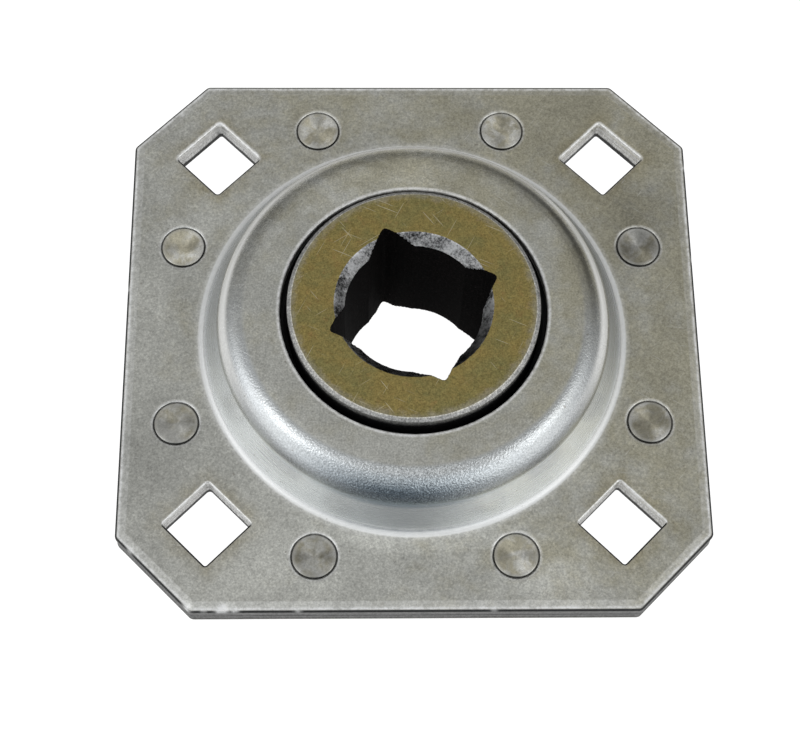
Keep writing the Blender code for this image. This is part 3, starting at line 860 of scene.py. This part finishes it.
def dome_profile():
    """(r, z, zone) from the plate over the dome, down its opening and back underneath."""
    def zone(points, name):
        return [(r, z, name) for r, z in points]

    slope = math.atan2(11.0 - 4.4, 50.4 - 47.3)
    end = 69.0                              # degrees of the shoulder's arc, from the top
    shoulder_z = DOME_TOP - SHOULDER_RADIUS
    wall_top = np.array([SHOULDER_AT + SHOULDER_RADIUS * math.sin(math.radians(end)),
                         shoulder_z + SHOULDER_RADIUS * math.cos(math.radians(end))])
    # the foot's fillet is tangent to the plate and to the wall
    foot = wall_top[0] + (wall_top[1] - PLATE_TOP) / math.tan(slope)
    fillet = 1.9
    profile = [(53.4, PLATE_TOP, "plate")]
    profile += zone(arc(foot + fillet * math.tan(slope / 2), PLATE_TOP + fillet, fillet,
                        -90, -90 - math.degrees(slope), 12), "foot")
    wall_foot = np.array(profile[-1][:2])
    profile += zone([wall_foot + (wall_top - wall_foot) * t
                     for t in np.linspace(0.08, 1.0, 12)], "wall")
    profile += zone(arc(SHOULDER_AT, shoulder_z, SHOULDER_RADIUS, 90 - end + 1.5, 90, 26),
                    "shoulder")
    profile += [(r, DOME_TOP, "flat") for r in (37.6, 36.2, 34.8, 33.6, 32.8)]
    lip_width, lip_depth = 0.55, 0.42
    for t in (0.0, 0.25, 0.45, 0.62, 0.76, 0.87, 0.95, 1.0):
        profile.append((OPENING_RADIUS + lip_width * (1 - t),
                        DOME_TOP - lip_depth * roll_over(t), "lip"))
    profile += zone([(OPENING_RADIUS, 16.6), (OPENING_RADIUS, 15.9), (OPENING_RADIUS + 0.05, 15.6),
                     (OPENING_RADIUS + 0.08, 14.6), (OPENING_RADIUS + 0.35, 14.33)], "opening")
    profile += zone([(33.0, 14.3), (37.0, 14.3), (40.2, 14.3), (41.0, 14.24), (41.7, 14.05),
                     (42.3, 13.75), (42.85, 13.4)], "inside")
    profile += zone(arc(0, 0, 45.3, 16.3, 11.7, 5), "inside")
    profile += zone([(45.9, 5.9), (47.3, 2.9), (47.75, 1.9), (48.5, 1.0), (49.4, 0.4),
                     (50.3, SEAM)], "inside")
    return profile


class Flange(MeshBuilder):
    """One flange, dome towards +Z, with its rim, cut, halo and painted-shade fields; the rim field
    is partly painted highlight.
    """

    def __init__(self, seed, front):
        super().__init__()
        self.seed, self.front = seed, front
        self.rim, self.cut, self.painted_shade = [], [], []
        self.top_holes, self.bottom_holes = [], []      # (indices, xy) of closed loops

    def put(self, xy, z, rim=0.0, cut=0.0, painted_shade=0.0):
        n = len(xy)
        for values, value in ((self.rim, rim), (self.cut, cut), (self.painted_shade, painted_shade)):
            values.append(np.broadcast_to(np.asarray(value, float), n))
        return self.add(np.column_stack([xy, np.broadcast_to(z, n)]))

    def outer_edge(self):
        """Soft roll-over, then the sheared wall down to the seam; its top and bottom loops."""
        outline, normals = plate_outline(0.0)
        n = len(outline)
        wobble = grain(n, 38, self.seed)
        top = last = None
        for inset in BORDER_INSETS:
            xy, _ = plate_outline(inset)
            soft = (0.135 * max(0.0, 2.25 - inset) + (0.03 if inset < 2.3 else 0.0)
                    - 0.022 * max(0.0, 1 - abs(inset - 2.5) / 0.4))
            drop = EDGE_ROUND * roll_over((EDGE_ROUND - min(inset, EDGE_ROUND)) / EDGE_ROUND)
            # front: painted highlight just inside the edge, bright nicks at the dings, painted
            # shade on the outermost 0.4 mm; rear: painted shade on the outermost 0.3 mm
            if self.front:
                nick = np.clip(ding(xy[:, 0], xy[:, 1]) * 5.0, 0.0, 1.0)
                shine = max(0.0, 1 - abs(inset - 0.78) / 0.45) * 1.10 + 0.26 * (0.6 < inset < 2.6)
                bright = np.maximum(shine * (0.8 + 0.2 * wobble), nick)
                dark = (1.0 if inset < 0.40 else 0.0) * (1 - 0.8 * nick)
            else:
                bright, dark = 0.0, float(inset < 0.3)
            ring = self.put(xy, plate_z(xy) - soft - drop, bright, dark, dark)
            if top is None:
                top = (ring, xy)
            else:
                self.strip(last, ring)
            last = ring
        burnished = 1.35 + 0.25 * wobble
        for down, inset, cut in OUTER_WALL:
            rough = 0.045 * grain(n, 130, self.seed + int(down * 10))
            rough = np.abs(rough * (1.0 if cut == 1.0 else 0.15))
            z = (PLATE_TOP - 0.60 - (burnished - 0.6) * min(down, 1.12)
                 - max(down - 1.12, 0.0) * 0.95)
            z = np.maximum(z, SEAM + 0.12 + 0.05 * (2.9 - down))
            # the sheared outer wall gets painted shade, darker where fully cut
            ring = self.put(outline + normals * (inset + rough)[:, None], z, 0.0, cut,
                            0.62 if cut < 1 else 0.80)
            self.strip(last, ring)
            last = ring
        xy = outline + normals * OUTER_WALL_INSET
        # painted shade along the seam between the flanges
        bottom = self.put(xy, SEAM, cut=0.6, painted_shade=1.0)
        self.strip(last, bottom)
        return top, (bottom, xy)

    def bolt_hole(self, index, side_x, side_y, corner_radius, width, depth):
        x, y, reach = side_x * BOLT_AT, side_y * BOLT_AT, BOLT_HALF * math.sqrt(2)
        corners = [(x + reach, y), (x, y + reach), (x - reach, y), (x, y - reach)]
        square, normals = rounded_loop(corners, corner_radius, 7, step=0.55)
        n = len(square)
        wobble = grain(n, 16, self.seed + 20 + index)
        minus_y = np.clip(normals[:, 1] * 1.5, 0, 1)     # the hole's -Y sides
        last = None
        for distance in (BOLT_RIM_START, *(share * width for share in BOLT_RIM_SHARES)):
            xy = square - normals * distance
            t = max(0.0, 1 - distance / width)
            z = plate_z(xy) - depth * roll_over(t)
            # front: painted highlight on the rolled rim, faint on the -Y sides, with painted shade
            # along the -Y edge; rear: painted shade round the hole's edge
            if self.front:
                ring = self.put(xy, z, rim=min(1.0, t * 1.6) * (1 - 0.8 * minus_y),
                                painted_shade=minus_y * (1.0 if distance < 0.40 else 0.0))
            else:
                ring = self.put(xy, z, painted_shade=1.0 if t > 0.3 else 0.0)
            if last is None:
                self.top_holes.append((ring, xy))
            else:
                self.strip(ring, last)
            last = ring
        burnished = 1.5 + 0.22 * wobble
        for down, growth, cut, rear_shade in BOLT_WALL:
            rough = 0.04 * np.abs(grain(n, 46, self.seed + 30 + index + int(down * 10)))
            rough = rough * (1.0 if cut == 1.0 else 0.1)
            z = np.maximum(PLATE_TOP - depth - (burnished - depth * 0.4) * down,
                           SEAM + 0.1 + 0.1 * (1.8 - down))
            # front: painted highlight at the top of the walls away from -Y, painted shade on the -Y
            # walls; rear: painted shade on the walls' outer part
            ring = self.put(square - normals * (growth + rough)[:, None], z,
                            0.45 * (cut == 0.15) * (1 - minus_y) if self.front else 0.0, cut,
                            minus_y * 0.7 if self.front else rear_shade)
            self.strip(ring, last)
            last = ring
        xy = square - normals * 0.10
        bottom = self.put(xy, SEAM, cut=0.6)
        self.strip(bottom, last)
        self.bottom_holes.append((bottom, xy))

    def rivet_hole(self, index, centre):
        n = RIVET_STEPS
        centre = np.array(centre)
        spokes = circle_loop(centre, 1.0, n) - centre
        ragged = 0.05 * grain(n, 9, self.seed + 80 + index)
        shine = 0.75 + 0.25 * grain(n, 14, self.seed + 90 + index)
        last = None
        for distance in RIVET_RIM:
            xy = centre + spokes * (RIVET_HOLE + distance + ragged * (distance < 0.9))[:, None]
            t = max(0.0, 1 - distance / 0.75)
            raised = 0.03 * math.exp(-((distance - 0.9) / 0.25) ** 2)
            # bright rolled rim round the rivet hole: partly worn, partly painted highlight
            ring = self.put(xy, plate_z(xy) - 0.30 * roll_over(t) + raised,
                            rim=0.6 * min(1.0, t * 1.7) * shine)
            if last is None:
                self.top_holes.append((ring, xy))
            else:
                self.strip(ring, last)
            last = ring
        for radius, z in (*RIVET_WALL, (RIVET_SHANK_HOLE, SEAM)):
            xy = circle_loop(centre, radius, n)
            ring = self.put(xy, z, cut=0.5)
            self.strip(ring, last)
            last = ring
        self.bottom_holes.append((last, xy))

    def dome(self):
        n = DOME_STEPS
        angles, cos, sin = around(n)
        jitter = np.random.default_rng(self.seed + 50)
        fade_span = FACE_RIPPLE_FROM, FACE_RIPPLE_FULL
        # bright lip and foot: partly worn edge, partly painted highlight
        rim = {"lip": 0.85, "foot": 0.35}
        last = None
        for i, (r, z, zone) in enumerate(dome_profile()):
            radii, heights = np.full(n, r), np.full(n, z)
            if zone in ("plate", "foot"):
                heights = heights + ripple(r * cos, r * sin) * smooth(r, *fade_span)
            if zone == "shoulder":
                heights = heights + jitter.normal(0, 0.004, n)
                radii = radii + jitter.normal(0, 0.004, n)
            if zone in ("shoulder", "flat"):
                wave = 0.012 * np.sin(3 * angles + 0.6)
                heights = np.minimum(heights + wave - 0.012, DOME_TOP)
            if zone == "wall":
                radii = radii + 0.01 * grain(n, 70, self.seed + 61)
            if zone == "opening":
                radii = radii + 0.03 * np.abs(grain(n, 90, self.seed + 70 + i))
            xy = np.stack([radii * cos, radii * sin], 1)
            cut = 0.8 if zone == "opening" and z < 15.8 else 0.0
            ring = self.put(xy, heights, rim.get(zone, 0.0), cut)
            if last is None:
                self.top_holes.append((ring, xy))
            else:
                self.strip(ring, last)
            last = ring
        self.bottom_holes.append((last, xy))

    def halo(self):
        """1 beside the bolt holes, fading out over the face; 0 on the sheared walls."""
        x, y, _ = self.points().T
        near = np.zeros(len(x))
        for side_x, side_y, *_ in BOLT_HOLES:
            distance = bolt_distance(x, y, side_x, side_y) - BOLT_HALF
            near = np.maximum(near, 1 - smooth(distance, 0.6, 4.5))
        return near * (np.concatenate(self.cut) < 0.1)

    def build(self, name):
        top, bottom = self.outer_edge()
        for index, row in enumerate(BOLT_HOLES):
            self.bolt_hole(index, *row)
        for index, centre in enumerate(RIVET_CENTRES):
            self.rivet_hole(index, centre)
        self.dome()
        free = face_points()
        free_indices = self.put(free, plate_z(free))
        self.add_faces(triangulate(top, self.top_holes, (free_indices, free)))
        self.add_faces(triangulate(bottom, self.bottom_holes))
        # the fields carry the bright edges (partly painted highlight), the cuts, the halo and the
        # painted shade
        return self.make(name, [FLANGE_STEEL], 38.0, {
            "rim": np.concatenate(self.rim), "cut": np.concatenate(self.cut),
            "halo": self.halo(), "painted_shade": np.concatenate(self.painted_shade)})


for side, seed, turn in (("front", 3, 0.0), ("rear", 17, math.pi)):
    flange = Flange(seed, side == "front").build(side + "_flange_finished")
    flange.rotation_euler.x = turn
    hand_over(flange, side + "_flange", "housing")


# ------------------------------------------------------------------ rivets
# brightness of each rivet head: partly its own tone, partly painted light
RIVET_TONE_AND_LIGHT = (0.70, 1.20, 1.30, 1.44, 0.88, 0.82, 1.20, 0.90)


def rivet_mesh(name, centre, seed):
    """A rivet with a dished, slightly tilted head at both ends."""
    draw = np.random.default_rng(seed)
    build = MeshBuilder()
    n = 96
    tilt, tilt_angle = draw.uniform(0.004, 0.011), draw.uniform(0, 6.28)
    dish_radius, edge_from, edge_round = 4.6, 4.9, 0.36
    half = []
    head_radii = [*np.linspace(0.25, 4.55, 30), 4.75, 4.9, 5.02, 5.12, 5.19, 5.235, RIVET_HEAD]
    for r in head_radii:
        dish = 0.20 * (1 - min(r, dish_radius) / dish_radius)
        edge = edge_round * roll_over(max(r - edge_from, 0.0) / edge_round)
        swirl = 0.004 * math.sin(r * 15.0 + seed) if r < dish_radius else 0.0
        half.append((r, RIVET_Z - 0.05 - dish - edge - 0.06 + swirl))
    half += [(RIVET_HEAD, 3.1), (RIVET_HEAD - 0.06, 3.0), (3.85, 1.55), (3.8, 1.45)]
    profile = half + [(r, -z) for r, z in reversed(half)]
    angles, cos, sin = around(n)
    rings = []
    for r, z in profile:
        heights = np.full(n, z)
        lean = tilt * r * np.cos(angles - tilt_angle)
        if z > 3.15:
            heights = np.minimum(heights + lean, RIVET_Z)
        elif z < -3.15:
            heights = np.maximum(heights - lean, -RIVET_Z)
        rings.append(build.add(np.stack([r * cos, r * sin, heights], 1)))
    for ring, following in zip(rings, rings[1:]):
        build.strip(ring, following)
    top = build.add([(0, 0, profile[0][1] - 0.005)])[0]
    bottom = build.add([(0, 0, profile[-1][1] + 0.005)])[0]
    first, last = rings[0].tolist(), rings[-1].tolist()
    build.add_faces([[top, first[i], first[(i + 1) % n]] for i in range(n)])
    build.add_faces([[bottom, last[(i + 1) % n], last[i]] for i in range(n)])
    ob = build.make(name, [RIVET_STEEL], 50.0)
    ob.location = (centre[0] * MM, centre[1] * MM, 0)
    ob.rotation_euler.z = draw.uniform(-0.7, 0.7)
    return ob


for k, (node, centre, tone) in enumerate(zip(RIVETS, RIVET_CENTRES, RIVET_TONE_AND_LIGHT)):
    ob = rivet_mesh(node + "_finished", centre, 100 + k)
    # the object colour carries the head's brightness, partly painted light
    ob.color = (tone, tone, tone, 1.0)
    hand_over(ob, node, "housing")


# ------------------------------------------------------------------ inner ring
RING_RADIUS = 30.0
FACE_RADIUS = 28.95                         # where the end face meets the rounded edge
BORE_TURN = math.radians(-25.5)
BORE_HALF, BORE_CORNER = 29.97 / 2, 1.0
BORE_RADIUS, MOUTH_RADIUS = 16.4, 18.8      # the round bore, and its lead-in at the face
LEAD_IN_Z = 17.85
TRACK_LAND = 31.3


def square_radius(angles):
    """Distance from the axis to the rounded square of the bore, in each direction."""
    t = np.abs(np.mod(angles - BORE_TURN + math.pi / 4, math.pi / 2) - math.pi / 4)
    flat = BORE_HALF / np.cos(t)
    k = BORE_HALF - BORE_CORNER
    u = k * (np.cos(t) + np.sin(t))
    corner = u + np.sqrt(np.maximum(u * u - 2 * k * k + BORE_CORNER * BORE_CORNER, 0.0))
    return np.where(BORE_HALF * np.tan(t) <= k, flat, np.minimum(corner, flat))


def round_radius(z):
    """Radius of the round bore and its lead-in at a distance z from the middle plane."""
    rise = np.maximum(z - LEAD_IN_Z, 0.0) / (RING_Z - LEAD_IN_Z)
    return BORE_RADIUS + (MOUTH_RADIUS - BORE_RADIUS) * rise


def bore_angles():
    """Even steps, with more where the square has corners or meets the round bore."""
    parts = [np.radians(np.arange(0, 360, 0.9))]
    for quarter in range(4):
        middle = BORE_TURN + quarter * math.pi / 2
        corner = BORE_TURN + math.pi / 4 + quarter * math.pi / 2
        parts.append(corner + np.radians(np.linspace(-9, 9, 61)))
        for offset in (24.0, 37.15):
            for sign in (-1, 1):
                parts.append(middle + sign * math.radians(offset)
                             + np.radians(np.linspace(-1.2, 1.2, 7)))
    angles = np.unique(np.round(np.mod(np.concatenate(parts), 2 * math.pi), 5))
    return angles[np.concatenate([[True], np.diff(angles) > 0.0012])]


def inner_ring_mesh(name):
    build = MeshBuilder()
    face, edge, bore, lead, race = range(5)     # places in RING_MATERIALS
    angles = bore_angles()
    n = len(angles)
    cos, sin = np.cos(angles), np.sin(angles)
    square = square_radius(angles)
    draw = np.random.default_rng(11)

    def jagged(count):
        values = np.concatenate([[0], draw.normal(0, 1, count - 2), [0]])
        return np.interp(angles, np.linspace(0, 2 * math.pi, count), values)

    coarse, fine = jagged(400), jagged(900)

    def bore_radius(z):
        plain = round_radius(z)
        in_corner = smooth(square, plain - 0.05, plain + 0.3)
        tear = 0.045 * fine * in_corner * (1.0 if z > 15 else 0.35) + 0.012 * coarse
        return np.maximum(plain + 0.02 * coarse * (z > LEAD_IN_Z), square) + tear

    # +Z half of the outside as (radius, z, material): face, rounded edge, land beside the track
    mouth = bore_radius(RING_Z) + 0.10
    half = [(mouth + (FACE_RADIUS - mouth) * t, RING_Z - (0.02 if t == 0 else 0.0), face)
            for t in (0.0, 0.03, 0.1, 0.25, 0.5, 0.75, 0.9, 1.0)]
    rounded = arc(FACE_RADIUS, RING_Z - 0.28, 0.28, 82, 52, 3) + [(29.5, RING_Z - 0.45)]
    rounded += arc(29.55, 19.75, 0.45, 48, 2, 6)
    half += [(r, z, edge) for r, z in rounded + [(RING_RADIUS, z) for z in (19.0, 17.0, 14.0)]]
    half += [(r, z, race) for r, z in (
        (RING_RADIUS, 11.5), (RING_RADIUS, 8.75), (30.05, 8.66), (31.2, 8.15), (TRACK_LAND, 8.05),
        (TRACK_LAND, 6.8), (TRACK_LAND, 5.62))]
    track_end = math.degrees(math.acos((TRACK_AT - TRACK_LAND) / TRACK_RADIUS))
    track = arc(TRACK_AT, 0.0, TRACK_RADIUS, 180 - track_end + 1, 180 + track_end - 1, 24)
    profile = half + [(r, z, race) for r, z in track]
    profile += [(r, -z, material) for r, z, material in reversed(half)]
    # the bore, from -Z to +Z
    mouth_z = [20.57, 20.3, 19.8, 19.2, 18.6, 18.1, 17.86, 17.7]
    middle_z = [-16.5, -14, -10, -5, 0, 5, 10, 14, 16.5]
    for z in [-z for z in mouth_z] + middle_z + mouth_z[::-1]:
        profile.append((bore_radius(abs(z)), z, lead if abs(z) > LEAD_IN_Z else bore))

    rings = [build.add(np.stack([r * cos, r * sin, np.full(n, z)], 1)) for r, z, _ in profile]
    for i, (_, _, material) in enumerate(profile):
        j = (i + 1) % len(profile)
        if material == face and profile[j][2] == edge:
            material = edge
        build.strip(rings[i], rings[j], material)
    # the square's corners stay black right through the bright lead-in
    materials = np.array(build.materials)
    x, y, z = build.points()[np.array(build.faces)].mean(1).T
    beyond = square_radius(np.arctan2(y, x)) > round_radius(np.abs(z)) + 0.02
    materials[(materials == lead) & beyond] = bore
    build.materials = materials.tolist()
    return build.make(name, RING_MATERIALS, 30.0)


hand_over(inner_ring_mesh("inner_ring_finished"), "inner_ring", "inner_ring")


# ------------------------------------------------------------------ outer ring, seals and balls
OUTER_LAND = 38.9
OUTER_SPHERE = 45.0


def outer_ring_corners():
    """(r, z, corner radius): spherical outside, seal seats and the ball track."""
    sphere_end = math.degrees(math.asin(10.1 / OUTER_SPHERE))
    track_end = math.degrees(math.acos((OUTER_LAND - TRACK_AT) / TRACK_RADIUS))
    return [
        (42.6, 11.0, 0.2), (43.83, 10.12, 0.3),
        *arc(0, 0, OUTER_SPHERE, sphere_end - 1, -sphere_end + 1, 20),
        (43.83, -10.12, 0.3), (42.6, -11.0, 0.2),
        (40.2, -11.0, 0.15), (40.2, -8.4, 0.15), (OUTER_LAND, -8.4, 0.15), (OUTER_LAND, -5.5),
        *arc(TRACK_AT, 0.0, TRACK_RADIUS, -track_end + 1, track_end - 1, 24),
        (OUTER_LAND, 5.5), (OUTER_LAND, 8.4, 0.15), (40.2, 8.4, 0.15), (40.2, 11.0, 0.15)]


outer_ring = lathe("outer_ring_finished", rounded_profile(outer_ring_corners(), 3), 240,
                   RACE_STEEL, sharp_degrees=30)
hand_over(outer_ring, "outer_ring", "outer_ring")

# seal sections: r, z, corner radius
CASE_PROFILE = rounded_profile([
    (39.9, 10.7, 0.25), (39.9, 8.9, 0.08), (39.1, 8.9, 0.08), (39.1, 9.8, 0.2),
    (33.0, 9.8, 0.08), (33.0, 10.7, 0.08)], 3)
LIP_PROFILE = rounded_profile([
    (32.7, 10.8, 0.15), (32.7, 9.5, 0.1), (31.4, 9.3, 0.25), (30.3, 9.9, 0.08),
    (30.3, 10.3, 0.1), (31.2, 10.8, 0.2)], 4)
for side, turn in (("front", 0.0), ("rear", math.pi)):
    for part, profile, material, slot in (
            ("_seal_case", CASE_PROFILE, CASE_STEEL, "seal_case_steel"),
            ("_seal_lip", LIP_PROFILE, RUBBER, "seal_rubber")):
        ob = lathe(side + part + "_finished", profile, 200, material)
        ob.rotation_euler.x = turn
        hand_over(ob, side + part, "outer_ring")

ball_mesh = bpy.data.meshes.new("ball_finished")
bm = bmesh.new()
bmesh.ops.create_uvsphere(bm, u_segments=40, v_segments=24, radius=BALL_RADIUS * MM)
bm.to_mesh(ball_mesh)
bm.free()
ball_mesh.materials.append(BALL_STEEL)
ball_mesh.shade_smooth()
for i in range(1, 11):
    node = "ball_%d" % i
    lo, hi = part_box(node)
    ob = add_object(node + "_finished", ball_mesh)
    ob.location = (lo + hi) / 2
    hand_over(ob, node, node)

# the cage and its rivets keep their CAD shape
for node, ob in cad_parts.items():
    if node.startswith("cage_"):
        ob.data.materials.clear()
        ob.data.materials.append(CAGE_RIVET if node.startswith("cage_rivet") else CAGE_STEEL)


# ------------------------------------------------------------------ floor, in metres
def floor_paper():
    """White to the camera; other rays meet a glow that fades outwards and towards -Y."""
    material = bpy.data.materials.new("floor_paper")
    tree = Tree(material)
    tree.nodes.clear()
    surface = tree.node("NewGeometry")
    position, underside = (Value(tree, surface.outputs[key]) for key in ("Position", "Backfacing"))
    distance = tree.vector_math("LENGTH", position, output="Value")
    glow = distance.ease(over=(0.085, 0.22), to=(0.70, 0.46))
    unit = tree.vector_math("NORMALIZE", position)
    ahead = tree.vector_math("DOT_PRODUCT", unit, (-0.12, -0.99, 0.0), output="Value")
    shade = ahead.ease(over=(0.80, 0.97), to=(1.0, 0.10))
    glow = glow * tree.blend(distance.ease(over=(0.108, 0.122)), 1.0, shade)
    seen = tree.value("LightPath", "Is Camera Ray")
    diffuse = tree.value("BsdfDiffuse", 0, {"Color": (0.16, 0.16, 0.16)})
    emission = tree.value("Emission", 0, {"Strength": tree.blend(seen, glow, 1.02)})
    paper = tree.value("AddShader", 0, {0: diffuse, 1: emission})
    clear = tree.value("BsdfTransparent", 0)     # from underneath the sheet is clear
    one_sided = tree.value("MixShader", 0, {0: underside, 1: paper, 2: clear})
    tree.node("OutputMaterial", {"Surface": one_sided})
    return material


floor_mesh = bpy.data.meshes.new("floor")
bm = bmesh.new()
bmesh.ops.create_grid(bm, x_segments=1, y_segments=1, size=3.0)
bm.to_mesh(floor_mesh)
bm.free()
floor = add_object("floor", floor_mesh)
floor.location.z = cad_lo.z - 0.0003
floor_mesh.materials.append(floor_paper())

# ------------------------------------------------------------------ world
AMBIENT = (0.180, 0.184, 0.188)
# glows in the surroundings: direction, power (higher is narrower), colour
GLOWS = (
    ((0.0, 0.02, 1.00), 5.0, (0.42, 0.42, 0.41)),        # overhead
    ((0.0, 0.66, 0.75), 4.0, (0.27, 0.27, 0.26)),        # high, +Y
    ((0.0, -0.90, 0.30), 3.0, (0.26, 0.28, 0.29)),       # broad and low, -Y
    ((-0.80, -0.44, 0.36), 8.0, (1.14, 1.15, 1.16)),     # low, -X and -Y
    ((0.80, -0.44, 0.36), 8.0, (1.36, 1.37, 1.38)),      # low, +X and -Y
    ((-0.95, 0.16, 0.28), 5.0, (0.40, 0.405, 0.41)),     # fill, -X
    ((0.95, 0.25, 0.15), 5.0, (0.18, 0.18, 0.18)),       # fill, +X
    ((-0.85, -0.01, 0.51), 50.0, (1.10, 1.11, 1.12)),    # a row of lamps, -X
    ((-0.56, -0.18, 0.81), 55.0, (1.10, 1.11, 1.12)),
    ((-0.27, -0.33, 0.90), 45.0, (0.50, 0.52, 0.54)),
    ((0.77, 0.04, 0.63), 50.0, (0.60, 0.61, 0.62)),      # a row of lamps, +X
    ((0.58, -0.19, 0.79), 55.0, (1.15, 1.16, 1.17)),
    ((0.39, -0.65, 0.65), 45.0, (1.45, 1.47, 1.49)))
# dark patches towards -Y: direction, power, share of each colour taken away
SHADES = (((-0.10, -0.97, 0.12), 18.0, (0.90, 0.85, 0.80)),
          ((-0.06, -0.90, 0.42), 20.0, (0.68, 0.62, 0.57)))


def build_world():
    world = bpy.data.worlds.new("studio")
    scene.world = world
    tree = Tree(world)
    tree.nodes.clear()
    view = tree.value("TexCoord", "Generated")

    def lobe(direction, power, color):
        toward = Vector(direction).normalized()
        facing = tree.vector_math("DOT_PRODUCT", view, toward, output="Value")
        strength = tree.math("POWER", tree.larger(facing, 0.0), power)
        return tree.value("VectorMath", 0, {0: color, "Scale": strength}, operation="SCALE")

    total = tree.value("RGB", 0)
    total.socket.default_value = (*AMBIENT, 1)
    for row in GLOWS:
        total = tree.vector_math("ADD", total, lobe(*row))
    for row in SHADES:
        left = tree.vector_math("SUBTRACT", (1, 1, 1), lobe(*row))
        total = tree.vector_math("MULTIPLY", total, left)
    studio = tree.value("Background", 0, {"Color": total, "Strength": 0.90})
    # the camera itself sees a plain white backdrop
    plain = tree.value("Background", 0, {"Color": (1.0, 1.0, 1.0)})
    seen = tree.value("LightPath", "Is Camera Ray")
    chosen = tree.value("MixShader", 0, {0: seen, 1: studio, 2: plain})
    tree.node("OutputWorld", {"Surface": chosen})


build_world()


# ------------------------------------------------------------------ lights and camera, in metres
def area_light(name, location, size, energy, color=(1, 1, 1)):
    """A square area light aimed at the origin."""
    data = bpy.data.lights.new(name, "AREA")
    data.shape = "RECTANGLE"
    data.size = data.size_y = size
    data.energy = energy
    data.color = color
    ob = add_object(name, data)
    ob.location = location
    ob.rotation_mode = "QUATERNION"
    ob.rotation_quaternion = (-Vector(location)).to_track_quat("-Z", "Y")


area_light("key_left", location=(-0.58, -0.20, 0.74), size=0.28, energy=0.36)
area_light("fill_right", location=(0.58, -0.22, 0.73), size=0.28, energy=0.34,
           color=(0.98, 0.99, 1.0))

camera_data = bpy.data.cameras.new("camera")
camera_data.sensor_width = 36.0
camera_data.lens = 82.88
camera_data.clip_start, camera_data.clip_end = 0.01, 20.0
camera = add_object("camera", camera_data)
right = Vector((0.99983, -0.009385, 0.016106))
up = Vector((0.0023, 0.91958, 0.39294))
back = Vector((-0.0185, -0.39283, 0.91944))
camera.rotation_mode = "QUATERNION"
camera.rotation_quaternion = Matrix((right, up, back)).transposed().to_quaternion()
camera.location = (-0.01135, -0.18373, 0.40984 + PLATE_TOP * MM)
scene.camera = camera
scene.view_settings.view_transform = "Standard"
